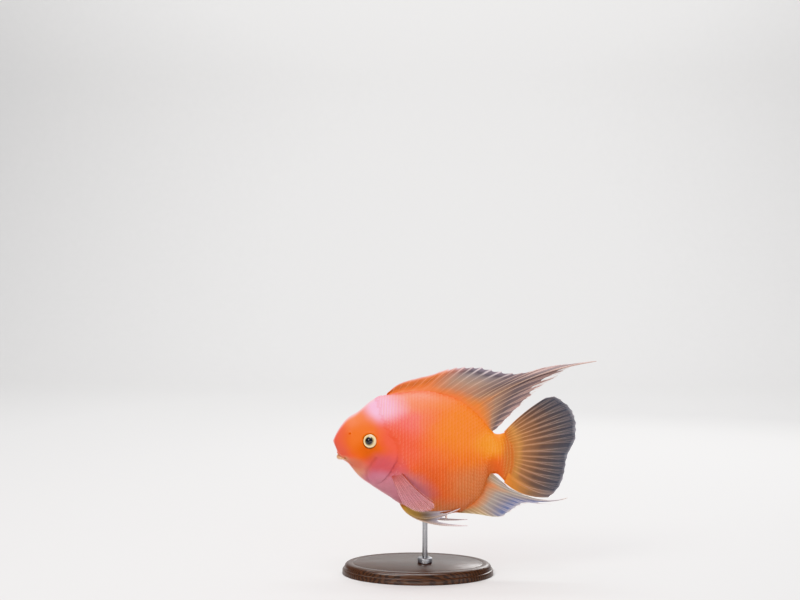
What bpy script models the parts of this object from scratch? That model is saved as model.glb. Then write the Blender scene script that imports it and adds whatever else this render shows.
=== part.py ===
"""Blood parrot cichlid, life size, as it swims, on a plain display stand.

Metres, +Z up. The fish faces -X and its left side faces -Y. Its shapes are drawn in the
fish's own frame, where x runs back from the tip of the snout, y is zero at the middle
and z is measured from the level of the mouth. An empty called fish carries them to
their place above the floor.
"""

import math

import bmesh
import bpy
import numpy as np
from mathutils import Matrix, Vector

# Driving dimensions, fish frame
GAP = 0.0003
FULL_LENGTH = 0.2158
AXIS_HEIGHT = 0.100
NAPE_CUT_TOP, NAPE_CUT_FOOT = (0.0485, 0.0466), (0.0535, -0.0424)
STALK_CUT = 0.1285
FAIRING_REACH = 0.0022
PROFILE_SAMPLES = 900

# The outline from the side, as (x, z) from the tip of the snout to the tail fin's root
BACK = (
    (0.0000, 0.0089),
    (0.0012, 0.0120),
    (0.0035, 0.0166),
    (0.0088, 0.0242),
    (0.0134, 0.0288),
    (0.0200, 0.0326),
    (0.0256, 0.0372),
    (0.0317, 0.0423),
    (0.0378, 0.0454),
    (0.0436, 0.0466),
    (0.0560, 0.0490),
    (0.0730, 0.0503),
    (0.0959, 0.0460),
    (0.1111, 0.0378),
    (0.1218, 0.0280),
    (0.1280, 0.0202),
    (0.1325, 0.0160),
    (0.1360, 0.0153),
    (0.1417, 0.0170),
)
BELLY = (
    (0.0000, 0.0089),
    (0.0013, 0.0055),
    (0.0028, 0.0022),
    (0.0042, -0.0006),
    (0.0050, -0.0034),
    (0.0064, -0.0060),
    (0.0092, -0.0077),
    (0.0126, -0.0096),
    (0.0160, -0.0140),
    (0.0229, -0.0215),
    (0.0318, -0.0277),
    (0.0401, -0.0331),
    (0.0484, -0.0381),
    (0.0556, -0.0424),
    (0.0653, -0.0461),
    (0.0790, -0.0491),
    (0.0920, -0.0503),
    (0.1020, -0.0493),
    (0.1111, -0.0447),
    (0.1188, -0.0384),
    (0.1238, -0.0300),
    (0.1270, -0.0212),
    (0.1300, -0.0172),
    (0.1340, -0.0171),
    (0.1370, -0.0195),
    (0.1417, -0.0243),
)
# Half of the width at each x, and where in the height the body is widest
HALF_WIDTH = (
    (0.0000, 0.0000),
    (0.0014, 0.0044),
    (0.0040, 0.0068),
    (0.0100, 0.0096),
    (0.0200, 0.0130),
    (0.0300, 0.0162),
    (0.0420, 0.0194),
    (0.0550, 0.0213),
    (0.0680, 0.0216),
    (0.0850, 0.0199),
    (0.1000, 0.0163),
    (0.1120, 0.0124),
    (0.1220, 0.0090),
    (0.1300, 0.0066),
    (0.1360, 0.0048),
    (0.1417, 0.0026),
)
WIDEST_AT = ((0.0, 0.50), (0.02, 0.47), (0.05, 0.42), (0.10, 0.45), (0.1417, 0.50))
# How sharp the ridge of the back and the keel of the belly are: 1 is round
BACK_SHARPNESS = ((0.0, 0.95), (0.02, 1.05), (0.045, 1.20), (0.12, 1.25), (0.1417, 1.0))
BELLY_SHARPNESS = ((0.0, 0.95), (0.05, 0.95), (0.09, 1.05), (0.12, 1.30), (0.1417, 1.0))
TAIL_BULGE = 0.0052
TAIL_BULGE_START = 0.1250

# Mesh counts
RING_POINTS = 34
STATIONS = (
    (0.0000, 0.0060, 8),
    (0.0060, 0.0540, 22),
    (0.0540, 0.1200, 16),
    (0.1200, 0.1360, 8),
    (0.1360, 0.1417, 3),
)

# Mouth: the corner, the slopes of its two edges and the cut behind the jaw
MOUTH_CORNER = (0.0112, -0.0052)
MOUTH_FRONT_X = -0.004
UPPER_EDGE_Z, LOWER_EDGE_Z = 0.0040, 0.0018
JAW_FOOT = (0.0178, -0.0220)
JAW_ROOM_DEPTH = 0.03
UPPER_LIP_RADIUS, LOWER_LIP_RADIUS, LIP_END_RADIUS = 0.0011, 0.0022, 0.0008
LIP_SIDES, LIP_STEPS = 8, 15
LIP_BACK, LIP_SINK = 0.0088, 0.35
UPPER_LIP_RISE, LOWER_LIP_RISE = 0.90, -0.90

# Eye
EYE_PLACE = (0.0316, 0.0107)
EYE_RADIUS, EYE_STANDS_PROUD = 0.0075, 0.0025
EYE_SEGMENTS, EYE_RINGS = 20, 10
ORBIT_RADIUS, ORBIT_THICKNESS, ORBIT_SINK = 0.0066, 0.0012, 0.0006
ORBIT_STEPS, ORBIT_SIDES = 22, 6

# Nostril, one on each side as in all cichlids
NOSTRIL_PLACE = (0.0150, 0.0160)
NOSTRIL_RADIUS, NOSTRIL_FLOOR_RADIUS, NOSTRIL_DEPTH = 0.0009, 0.0006, 0.0012
NOSTRIL_SIDES = 8

# Gill cover, as (share of its height, x, z) down its front and rear edges
GILL_FRONT = (
    (0.00, 0.0440, 0.0150),
    (0.30, 0.0405, 0.0030),
    (0.60, 0.0345, -0.0105),
    (0.85, 0.0322, -0.0185),
    (1.00, 0.0340, -0.0235),
)
GILL_REAR = (
    (0.00, 0.0462, 0.0162),
    (0.12, 0.0508, 0.0138),
    (0.30, 0.0543, 0.0070),
    (0.48, 0.0546, -0.0020),
    (0.62, 0.0517, -0.0085),
    (0.75, 0.0476, -0.0150),
    (0.88, 0.0428, -0.0212),
    (1.00, 0.0370, -0.0256),
)
GILL_THICK_FRONT, GILL_THICK_REAR = 0.0005, 0.0013
GILL_LIFT = 1.5 * GAP
GILL_ROWS, GILL_COLUMNS = 12, 7

# Papilla of the vent
VENT_X, VENT_LENGTH, VENT_LEAN, VENT_SUNK = 0.0925, 0.0046, 0.0012, 0.0020
VENT_RADIUS, VENT_TAPER, VENT_STEPS, VENT_SIDES = 0.0014, 0.6, 5, 8

# Fins: half thicknesses of the membrane, and how far a ray stands over it on each face
MEMBRANE_HALF, MARGIN_HALF = 0.00026, 0.00018
THICK_TO = 0.3
RAY_RISE, RAY_TAPER = 0.00034, 0.75
FLANK_SHARE, FLANK_RISE = 0.24, 0.15


def smooth(points, at, column=1):
    """Value at each place on a curve through the points, which never overshoots them."""
    table = np.array(points, float)
    xs, ys = table[:, 0], table[:, column]
    step = np.diff(xs)
    rise = np.diff(ys) / step
    slope = np.concatenate([rise[:1], np.zeros(len(xs) - 2), rise[-1:]])
    before, after = 2 * step[1:] + step[:-1], step[1:] + 2 * step[:-1]
    for i in np.flatnonzero(rise[:-1] * rise[1:] > 0):
        slope[i + 1] = (before[i] + after[i]) / (before[i] / rise[i] + after[i] / rise[i + 1])
    at = np.clip(at, xs[0], xs[-1])
    i = np.clip(np.searchsorted(xs, at, side="right") - 1, 0, len(xs) - 2)
    t = (at - xs[i]) / step[i]
    held = ys[i] * (1 + 2 * t) * (1 - t) ** 2 + ys[i + 1] * t * t * (3 - 2 * t)
    turned = slope[i] * t * (1 - t) ** 2 + slope[i + 1] * t * t * (t - 1)
    return held + step[i] * turned


def faired(points):
    """The curve through the points with its small kinks averaged away, as (places, values)."""
    xs = np.linspace(points[0][0], points[-1][0], PROFILE_SAMPLES)
    ys = smooth(points, xs)
    area = np.concatenate([[0], np.cumsum((ys[1:] + ys[:-1]) / 2 * np.diff(xs))])
    reach = np.minimum(FAIRING_REACH, np.minimum(xs - xs[0], xs[-1] - xs))
    wide = reach > xs[1] - xs[0]
    spans = np.interp(xs + reach, xs, area) - np.interp(xs - reach, xs, area)
    ys[wide] = spans[wide] / (2 * reach[wide])
    return xs, ys


TOP = faired(BACK)
BOTTOM = faired(BELLY)
HALF = faired(HALF_WIDTH)


def section(x):
    """Top, bottom, widest level and half width of the body at x."""
    top, bottom, half = (np.interp(x, *line) for line in (TOP, BOTTOM, HALF))
    return top, bottom, bottom + smooth(WIDEST_AT, x) * (top - bottom), half


def tail_bulge(x):
    """How far back the middle of the section at x is pushed, so that the tail's end is round."""
    share = np.clip((x - TAIL_BULGE_START) / (BACK[-1][0] - TAIL_BULGE_START), 0, 1)
    return TAIL_BULGE * share**2


def body_point(x, angle):
    """Point of the body's surface at station x, for an angle from 0 at the back to pi at the belly.

    Angles up to pi lie on the left side and those past it on the right.
    """
    top, bottom, level, half = section(x)
    up, side = np.cos(angle), np.sin(angle)
    height = np.where(up > 0, top - level, level - bottom)
    sharp = np.where(up > 0, smooth(BACK_SHARPNESS, x), smooth(BELLY_SHARPNESS, x))
    y = -np.sign(side) * half * np.abs(side) ** sharp
    return np.stack([x + tail_bulge(x) * side**2, y, level + height * up], axis=-1)


def half_width_at(x, z):
    """Half of the body's width at station x and level z."""
    top, bottom, level, half = section(x)
    height = np.where(z > level, top - level, level - bottom)
    up = np.clip((z - level) / np.maximum(height, 1e-9), -1, 1)
    sharp = np.where(z > level, smooth(BACK_SHARPNESS, x), smooth(BELLY_SHARPNESS, x))
    return half * (1 - up * up) ** (sharp / 2)


def left_flank(x, z, lift=0.0):
    """Point over the left side of the body, lift away from it along its normal, and that normal."""
    x, z = np.asarray(x, float), np.asarray(z, float)
    probe = 0.0005
    along = (half_width_at(x + probe, z) - half_width_at(x - probe, z)) / (2 * probe)
    upward = (half_width_at(x, z + probe) - half_width_at(x, z - probe)) / (2 * probe)
    normal = np.stack([-along, -np.ones_like(along), -upward], axis=-1)
    normal /= np.linalg.norm(normal, axis=-1, keepdims=True)
    place = np.stack([x, -half_width_at(x, z), z], axis=-1)
    return place + normal * np.asarray(lift)[..., None], normal


def along_profile(line, start, end):
    """Function from a share of the arc between two x of a profile to its (x, z) points."""
    xs = np.linspace(start, end, PROFILE_SAMPLES)
    zs = np.interp(xs, *line)
    arc = np.concatenate([[0], np.cumsum(np.hypot(np.diff(xs), np.diff(zs)))])
    return lambda share: np.stack(
        [np.interp(share * arc[-1], arc, xs), np.interp(share * arc[-1], arc, zs)], axis=-1
    )


def material(name, colour, roughness, metallic=0.0):
    """A Principled material of one colour."""
    made = bpy.data.materials.new(name)
    made.use_nodes = True
    shader = made.node_tree.nodes["Principled BSDF"]
    shader.inputs["Base Color"].default_value = (*colour, 1.0)
    shader.inputs["Roughness"].default_value = roughness
    shader.inputs["Metallic"].default_value = metallic
    return made


def add_object(name, mesh, finish=None, parent=None):
    made = bpy.data.objects.new(name, mesh)
    bpy.context.scene.collection.objects.link(made)
    made.parent = parent
    if finish:
        mesh.materials.append(finish)
    return made


def mesh_of(name, points, faces):
    """A mesh of these points and faces, with its faces turned outwards."""
    mesh = bpy.data.meshes.new(name)
    mesh.from_pydata([tuple(p) for p in points], [], [tuple(f) for f in faces])
    shape = bmesh.new()
    shape.from_mesh(mesh)
    bmesh.ops.recalc_face_normals(shape, faces=shape.faces)
    if shape.calc_volume(signed=True) < 0:
        bmesh.ops.reverse_faces(shape, faces=shape.faces)
    shape.to_mesh(mesh)
    shape.free()
    return mesh


def body_stations():
    """Places along the body where it has a ring of points, closest where the outline turns most."""
    places = [np.linspace(a, b, n, endpoint=False) for a, b, n in STATIONS]
    return np.concatenate([*places, [STATIONS[-1][1]]])[1:]


def body_mesh(name, lift=0.0):
    """The whole body from snout to tail root as one closed mesh, swollen by lift."""
    angles = np.arange(RING_POINTS) * 2 * math.pi / RING_POINTS
    stations = body_stations()
    x, angle = np.meshgrid(stations, angles, indexing="ij")
    points = body_point(x, angle).reshape(-1, 3)
    faces = []
    for i in range(len(stations) - 1):
        for j in range(RING_POINTS):
            k = (j + 1) % RING_POINTS
            a, b = i * RING_POINTS, (i + 1) * RING_POINTS
            faces.append((a + j, a + k, b + k, b + j))
    snout, end = len(points), len(points) + 1
    last = (len(stations) - 1) * RING_POINTS
    tail_middle = points[last:].mean(axis=0) + (tail_bulge(stations[-1]) / 2, 0, 0)
    points = np.vstack([points, [BACK[0][0], 0, BACK[0][1]], tail_middle])
    for j in range(RING_POINTS):
        k = (j + 1) % RING_POINTS
        faces.append((snout, k, j))
        faces.append((end, last + j, last + k))
    mesh = mesh_of(name, points, faces)
    if lift:
        for vertex, normal in zip(mesh.vertices, [v.normal.copy() for v in mesh.vertices]):
            vertex.co += normal * lift
    return mesh


def keep_side(mesh, place, normal):
    """Cuts the mesh with a plane, keeps what lies against the normal and closes the cut."""
    shape = bmesh.new()
    shape.from_mesh(mesh)
    everything = shape.verts[:] + shape.edges[:] + shape.faces[:]
    bmesh.ops.bisect_plane(
        shape, geom=everything, plane_co=place, plane_no=normal, clear_outer=True, dist=1e-6
    )
    open_edges = [e for e in shape.edges if e.is_boundary]
    bmesh.ops.holes_fill(shape, edges=open_edges, sides=0)
    bmesh.ops.recalc_face_normals(shape, faces=shape.faces)
    shape.to_mesh(mesh)
    shape.free()


def tube(name, path, radii, sides):
    """A closed tube along a path, with a radius at each of its points."""
    path = np.asarray(path, float)
    ahead = np.gradient(path, axis=0)
    ahead /= np.linalg.norm(ahead, axis=1, keepdims=True)
    points, faces = [], []
    reference = np.array([0.0, 0.0, 1.0])
    for place, way, radius in zip(path, ahead, radii):
        side = np.cross(way, reference if abs(way[2]) < 0.9 else reference[[2, 1, 0]])
        side /= np.linalg.norm(side)
        over = np.cross(side, way)
        for j in range(sides):
            turn = 2 * math.pi * j / sides
            points.append(place + radius * (math.cos(turn) * side + math.sin(turn) * over))
    for i in range(len(path) - 1):
        for j in range(sides):
            k = (j + 1) % sides
            faces.append((i * sides + j, i * sides + k, (i + 1) * sides + k, (i + 1) * sides + j))
    faces.append(tuple(range(sides))[::-1])
    faces.append(tuple(range((len(path) - 1) * sides, len(path) * sides)))
    return mesh_of(name, points, faces)


def combine(target, helpers, operation):
    """Joins helpers to the target or cuts them from it, and keeps the largest closed body."""
    tools = bpy.data.collections.new("tools")
    bpy.context.scene.collection.children.link(tools)
    for helper in helpers:
        tools.objects.link(helper)
    modifier = target.modifiers.new("combine", "BOOLEAN")
    modifier.operation = operation
    modifier.solver = "EXACT"
    modifier.operand_type = "COLLECTION"
    modifier.collection = tools
    bpy.context.view_layer.update()
    graph = bpy.context.evaluated_depsgraph_get()
    result = bpy.data.meshes.new_from_object(target.evaluated_get(graph))
    target.modifiers.clear()
    target.data = result
    for helper in helpers:
        bpy.data.objects.remove(helper)
    bpy.data.collections.remove(tools)
    keep_largest(target.data)


def keep_largest(mesh):
    """Keeps only the closed surface that holds the most volume."""
    shape = bmesh.new()
    shape.from_mesh(mesh)
    left, shells = set(shape.faces), []
    while left:
        shell, edge = set(), [next(iter(left))]
        while edge:
            face = edge.pop()
            if face in shell:
                continue
            shell.add(face)
            edge += [f for e in face.edges for f in e.link_faces if f not in shell]
        left -= shell
        shells.append(shell)
    if len(shells) > 1:
        def size(shell):
            spots = np.array([v.co for f in shell for v in f.verts])
            return np.prod(spots.max(axis=0) - spots.min(axis=0) + 1e-9)
        largest = max(shells, key=size)
        bmesh.ops.delete(shape, geom=[f for f in shape.faces if f not in largest], context="FACES")
    shape.to_mesh(mesh)
    shape.free()


def shade(made, angle=math.radians(50)):
    made.data.shade_smooth()
    made.data.set_sharp_from_angle(angle=angle)


def prism(name, outline, depth):
    """A closed prism of an (x, z) outline, running depth each way along y."""
    count = len(outline)
    points = [(x, y, z) for y in (-depth, depth) for x, z in outline]
    faces = [tuple(range(count)), tuple(range(2 * count - 1, count - 1, -1))]
    faces += [(i, i + count, (i + 1) % count + count, (i + 1) % count) for i in range(count)]
    return mesh_of(name, points, faces)


def ball(name, place, radius, segments, rings):
    shape = bmesh.new()
    bmesh.ops.create_uvsphere(shape, u_segments=segments, v_segments=rings, radius=radius)
    mesh = bpy.data.meshes.new(name)
    shape.to_mesh(mesh)
    shape.free()
    made = add_object(name, mesh)
    made.location = place
    return made


def mouth_z(x, front_z):
    """Level of a mouth edge at x: a straight line from the corner to the front."""
    corner_x, corner_z = MOUTH_CORNER
    share = (corner_x - x) / (corner_x - MOUTH_FRONT_X)
    return corner_z + share * (front_z - corner_z)


def lip(name, front_z, rise, radius):
    """A bead round one edge of the mouth, from near one corner round the front to the other."""
    x = np.linspace(0, LIP_BACK, PROFILE_SAMPLES)
    z = mouth_z(x, front_z)
    inside = z > np.interp(x, *BOTTOM)
    x, z = x[inside], z[inside]
    half = half_width_at(x, z)
    half[0] = 0
    line = np.stack([np.append(x[::-1], x[1:]), np.append(-half[::-1], half[1:])], axis=-1)
    arc = np.append(0, np.cumsum(np.hypot(*np.diff(line, axis=0).T)))
    turns = np.linspace(-1, 1, LIP_STEPS)
    at = (turns + 1) / 2 * arc[-1]
    line = np.stack([np.interp(at, arc, line[:, 0]), np.interp(at, arc, line[:, 1])], axis=-1)
    ahead = np.gradient(line, axis=0)
    ahead /= np.linalg.norm(ahead, axis=1, keepdims=True)
    radii = radius + (LIP_END_RADIUS - radius) * turns**2
    line += np.stack([ahead[:, 1], -ahead[:, 0]], axis=-1) * (LIP_SINK * radii)[:, None]
    z = mouth_z(line[:, 0], front_z) + rise * radii
    return add_object(name, tube(name, np.column_stack([line, z]), radii, LIP_SIDES))


def make_head(finish, parent):
    """Head with its mouth, upper lip, eye sockets, orbit rims and nostrils."""
    head = add_object("head", body_mesh("head"), finish, parent)
    cut_place, cut_normal = nape_plane(-GAP / 2)
    keep_side(head.data, cut_place, cut_normal)
    rims = [lip("upper_lip", UPPER_EDGE_Z, UPPER_LIP_RISE, UPPER_LIP_RADIUS)]
    for side in (-1, 1):
        rims.append(orbit_rim(side))
    combine(head, rims, "UNION")
    corner_x, corner_z = MOUTH_CORNER
    foot_x, foot_z = JAW_FOOT
    jaw_room = [
        (corner_x, corner_z),
        (foot_x, foot_z),
        (MOUTH_FRONT_X, foot_z),
        (MOUTH_FRONT_X, UPPER_EDGE_Z),
    ]
    cutters = [add_object("jaw_room", prism("jaw_room", jaw_room, JAW_ROOM_DEPTH))]
    for side in (-1, 1):
        cutters.append(eye_ball(f"socket_{side}", side, EYE_RADIUS + GAP))
        cutters.append(nostril(side))
    combine(head, cutters, "DIFFERENCE")
    return head


def nape_plane(shift):
    """A point and the backward normal of the cut between head and trunk, moved back by shift."""
    (top_x, top_z), (foot_x, foot_z) = NAPE_CUT_TOP, NAPE_CUT_FOOT
    normal = Vector((top_z - foot_z, 0, foot_x - top_x)).normalized()
    return Vector((top_x, 0, top_z)) + normal * shift, normal


def mirrored(point, side):
    return Vector((point[0], point[1] * -side, point[2]))


def eye_frame(side):
    """Where the eye's surface meets the head and the way it looks."""
    place, normal = left_flank(*EYE_PLACE)
    return mirrored(place, side), mirrored(normal, side)


def eye_ball(name, side, radius, finish=None, parent=None):
    """Eyeball whose pole looks outwards. A larger radius gives the socket it sits in."""
    place, normal = eye_frame(side)
    made = ball(name, place - normal * (EYE_RADIUS - EYE_STANDS_PROUD), radius, EYE_SEGMENTS, EYE_RINGS)
    made.rotation_euler = normal.to_track_quat("Z", "Y").to_euler()
    if finish:
        made.data.materials.append(finish)
    made.parent = parent
    return made


def orbit_rim(side):
    """Ring of skin round the eye, which the union fuses to the head."""
    place, normal = eye_frame(side)
    turn = normal.to_track_quat("Z", "Y").to_matrix()
    shape = bmesh.new()
    steps, sides = ORBIT_STEPS, ORBIT_SIDES
    rings = []
    for i in range(steps):
        about = 2 * math.pi * i / steps
        ring = []
        for j in range(sides):
            roll = 2 * math.pi * j / sides
            reach = ORBIT_RADIUS + ORBIT_THICKNESS * math.cos(roll)
            up = ORBIT_THICKNESS * math.sin(roll) - ORBIT_SINK
            spot = turn @ Vector((reach * math.cos(about), reach * math.sin(about), up))
            ring.append(shape.verts.new(place + spot))
        rings.append(ring)
    for i in range(steps):
        for j in range(sides):
            here, there = rings[i], rings[(i + 1) % steps]
            shape.faces.new((here[j], there[j], there[(j + 1) % sides], here[(j + 1) % sides]))
    bmesh.ops.recalc_face_normals(shape, faces=shape.faces)
    mesh = bpy.data.meshes.new("orbit")
    shape.to_mesh(mesh)
    shape.free()
    return add_object(f"orbit_{side}", mesh)


def nostril(side):
    """A small round pit, cut into the head."""
    place, normal = left_flank(*NOSTRIL_PLACE)
    place, normal = mirrored(place, side), mirrored(normal, side)
    shape = bmesh.new()
    bmesh.ops.create_cone(
        shape, cap_ends=True, segments=NOSTRIL_SIDES, radius1=NOSTRIL_FLOOR_RADIUS,
        radius2=NOSTRIL_RADIUS, depth=2 * NOSTRIL_DEPTH,
    )
    mesh = bpy.data.meshes.new("nostril")
    shape.to_mesh(mesh)
    shape.free()
    made = add_object(f"nostril_{side}", mesh)
    made.location = place
    made.rotation_euler = normal.to_track_quat("Z", "Y").to_euler()
    return made


def make_jaw(finish, parent):
    """Lower jaw: what lies under the mouth and before the cut behind it, with the lower lip."""
    jaw = add_object("lower_jaw", body_mesh("lower_jaw"), finish, parent)
    corner = Vector((MOUTH_CORNER[0], 0, MOUTH_CORNER[1]))
    edge = Vector((MOUTH_FRONT_X, 0, LOWER_EDGE_Z)) - corner
    over_mouth = Vector((edge.z, 0, -edge.x)).normalized()
    back = Vector((JAW_FOOT[0], 0, JAW_FOOT[1])) - corner
    behind_jaw = Vector((-back.z, 0, back.x)).normalized()
    keep_side(jaw.data, corner - behind_jaw * GAP, behind_jaw)
    keep_side(jaw.data, corner - over_mouth * GAP, over_mouth)
    combine(jaw, [lip("lower_lip", LOWER_EDGE_Z, LOWER_LIP_RISE, LOWER_LIP_RADIUS)], "UNION")
    return jaw


def make_trunk(finish, parent):
    """The trunk, with the small papilla of the vent under it."""
    trunk = add_object("trunk", body_mesh("trunk"), finish, parent)
    cut_place, cut_normal = nape_plane(GAP / 2)
    keep_side(trunk.data, cut_place, -cut_normal)
    keep_side(trunk.data, (STALK_CUT - GAP / 2, 0, 0), (1, 0, 0))
    top = np.array([VENT_X, 0, float(np.interp(VENT_X, *BOTTOM)) + VENT_SUNK])
    foot = top + np.array([VENT_LEAN, 0, -VENT_SUNK - VENT_LENGTH])
    shares = np.linspace(0, 1, VENT_STEPS)
    path = top + shares[:, None] * (foot - top)
    radii = VENT_RADIUS * (1 - VENT_TAPER * shares**2)
    papilla = add_object("papilla", tube("papilla", path, radii, VENT_SIDES))
    combine(trunk, [papilla], "UNION")
    return trunk


def make_tail_stalk(finish, parent):
    stalk = add_object("tail_stalk", body_mesh("tail_stalk"), finish, parent)
    keep_side(stalk.data, (STALK_CUT + GAP / 2, 0, 0), (-1, 0, 0))
    return stalk


def make_gill_cover(name, side, finish, parent):
    """A plate over the side of the head, thin in front and standing proud at its rear edge."""
    share, down = np.meshgrid(
        np.linspace(0, 1, GILL_COLUMNS), np.linspace(0, 1, GILL_ROWS), indexing="ij"
    )
    x = smooth(GILL_FRONT, down) * (1 - share) + smooth(GILL_REAR, down) * share
    z = smooth(GILL_FRONT, down, 2) * (1 - share) + smooth(GILL_REAR, down, 2) * share
    thick = GILL_THICK_FRONT + (GILL_THICK_REAR - GILL_THICK_FRONT) * share
    under = left_flank(x, z, np.full_like(x, GILL_LIFT))[0].reshape(-1, 3)
    over = left_flank(x, z, GILL_LIFT + thick)[0].reshape(-1, 3)
    faces = sheet_faces(GILL_COLUMNS, GILL_ROWS)
    points = np.vstack([over, under]) * (1, -side, 1)
    return add_object(name, mesh_of(name, points, faces), finish, parent)


def sheet_faces(columns, rows):
    """Triangles of a closed sheet whose two faces are alike, and of the walls round it."""
    count = columns * rows
    faces = []
    for i in range(columns - 1):
        for j in range(rows - 1):
            a, b = i * rows + j, (i + 1) * rows + j
            for corners in ((a, b, b + 1), (a, b + 1, a + 1)):
                faces.append(corners)
                faces.append(tuple(c + count for c in corners[::-1]))
    rim = [i * rows for i in range(columns)]
    rim += [(columns - 1) * rows + j for j in range(1, rows)]
    rim += [i * rows + rows - 1 for i in range(columns - 2, -1, -1)]
    rim += [j for j in range(rows - 2, 0, -1)]
    for here, there in zip(rim, rim[1:] + rim[:1]):
        faces.append((there, here, here + count))
        faces.append((there, here + count, there + count))
    return faces


def fin_columns(rays):
    """Places of the columns along a fin's root, and how much of a ray's ridge each carries."""
    places, ridges = [], []
    for i, ray in enumerate(rays):
        for share, ridge in ((-FLANK_SHARE, FLANK_RISE), (0.0, 1.0), (FLANK_SHARE, FLANK_RISE)):
            other = rays[min(max(i + (1 if share > 0 else -1), 0), len(rays) - 1)]
            if share and other == ray:
                continue
            places.append(ray + abs(share) * (other - ray))
            ridges.append(ridge)
        if i + 1 < len(rays):
            places.append((ray + rays[i + 1]) / 2)
            ridges.append(0.0)
    return np.array(places), np.array(ridges)


def fin_grid(rays, rows, root, tips, root_half, notch, sway, arch_at=0.5):
    """Points of both faces of a fin in its own x, z plane, with y across it.

    root maps a share of the root to its point. tips lists (share, x, z, bow, reach): the
    point that a ray heads for, how far it arches on the way as a part of its length, most
    at arch_at, and how much of the way it goes. Rays that stop short leave a filament bare.
    """
    u, ridge = fin_columns(rays)
    start = root(u)
    end = np.stack([smooth(tips, u, 1), smooth(tips, u, 2)], axis=-1)
    reach = smooth(tips, u, 4) * (1 - notch * (1 - ridge))
    chord = end - start
    arch = np.stack([-chord[:, 1], chord[:, 0]], axis=-1) * smooth(tips, u, 3)[:, None]
    middle = start + arch_at * chord + arch
    v = np.linspace(0, 1, rows)
    t = (reach[:, None] * v)[..., None]
    flat = (1 - t) ** 2 * start[:, None] + 2 * t * (1 - t) * middle[:, None] + t * t * end[:, None]
    blend = np.clip(v / THICK_TO, 0, 1)
    base = root_half + (MEMBRANE_HALF - root_half) * blend * blend * (3 - 2 * blend)
    base = base + (MARGIN_HALF - MEMBRANE_HALF) * v**4
    half = base[None, :] + RAY_RISE * ridge[:, None] * (1 - RAY_TAPER * v[None, :])
    across = sway(u[:, None], v[None, :])
    faces = [
        np.stack([flat[..., 0], across + way * half, flat[..., 1]], axis=-1).reshape(-1, 3)
        for way in (-1, 1)
    ]
    return np.vstack(faces), sheet_faces(len(u), rows)


def paired_fin(name, side, frame, grid, finish, parent):
    """A fin of a pair: built flat, turned into the frame of the left one, and cut clear of the body."""
    points, faces = grid
    points = np.array([frame @ Vector(p) for p in points]) * (1, -side, 1)
    fin = add_object(name, mesh_of(name, points, faces), finish, parent)
    room = add_object("room", body_mesh("room", GAP))
    combine(fin, [room], "DIFFERENCE")
    return fin


def frame_of(place, ahead, across):
    """Matrix whose x runs along the fin, z across its rays and y through it."""
    ahead = Vector(ahead).normalized()
    through = Vector(across).cross(ahead).normalized()
    across = ahead.cross(through)
    turn = Matrix((ahead, through, across)).transposed()
    return Matrix.Translation(place) @ turn.to_4x4()


def raised(root, gap, way):
    """The root line moved off the body by the gap, along its normal on the given side."""
    def line(share):
        probe = 0.004
        here = root(share)
        run = root(np.clip(share + probe, 0, 1)) - root(np.clip(share - probe, 0, 1))
        run /= np.linalg.norm(run, axis=-1, keepdims=True)
        return here + gap * way * np.stack([-run[..., 1], run[..., 0]], axis=-1)
    return line


DORSAL_START, DORSAL_END = 0.0440, 0.1306
DORSAL_SPINES, DORSAL_SOFT_RAYS, DORSAL_SOFT_FROM = 16, 11, 0.70
DORSAL_ROWS, DORSAL_ROOT_HALF, DORSAL_NOTCH = 8, 0.0011, 0.05
DORSAL_WAVE, DORSAL_WAVES, DORSAL_PHASE = 0.0022, 5.2, -0.6
DORSAL_TIPS = (
    (0.000, 0.0452, 0.0486, 0.00, 1.00),
    (0.065, 0.0545, 0.0558, 0.00, 1.00),
    (0.147, 0.0680, 0.0602, 0.00, 1.00),
    (0.228, 0.0820, 0.0636, 0.01, 1.00),
    (0.308, 0.0952, 0.0683, 0.02, 1.00),
    (0.390, 0.1080, 0.0701, 0.03, 1.00),
    (0.473, 0.1215, 0.0700, 0.03, 1.00),
    (0.546, 0.1345, 0.0672, 0.04, 1.00),
    (0.613, 0.1500, 0.0660, 0.05, 0.95),
    (0.670, 0.1800, 0.0730, 0.07, 0.73),
    (0.720, 0.2080, 0.0770, 0.12, 0.73),
    (0.740, 0.2140, 0.0764, 0.13, 0.80),
    (0.760, 0.2158, 0.0746, 0.13, 1.00),
    (0.780, 0.2150, 0.0732, 0.13, 0.80),
    (0.810, 0.2100, 0.0690, 0.11, 0.74),
    (0.843, 0.1930, 0.0630, 0.09, 0.76),
    (0.885, 0.1660, 0.0478, 0.06, 0.90),
    (0.925, 0.1500, 0.0350, 0.04, 0.98),
    (0.960, 0.1410, 0.0262, 0.03, 1.00),
    (1.000, 0.1345, 0.0198, 0.00, 1.00),
)


# Where along each long fin its filaments stand, over what share, and how far they drift sideways
DORSAL_TRAIL_AT, ANAL_TRAIL_AT, TRAIL_SPREAD = 0.76, 0.80, 0.10
DORSAL_TRAIL_DRIFT, ANAL_TRAIL_DRIFT = 0.006, -0.004


def fin_rays(spines, soft_rays, soft_from):
    """Places of the spines and then of the soft rays along a fin's root."""
    front = np.linspace(0, soft_from, spines, endpoint=False)
    return [*front, *np.linspace(soft_from, 1, soft_rays)]


def trail(u, v, at, drift):
    return drift * v**3 * np.exp(-(((u - at) / TRAIL_SPREAD) ** 2))


def dorsal_sway(u, v):
    wave = DORSAL_WAVE * v * v * np.sin(DORSAL_WAVES * u + DORSAL_PHASE)
    return wave + trail(u, v, DORSAL_TRAIL_AT, DORSAL_TRAIL_DRIFT)


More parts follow.
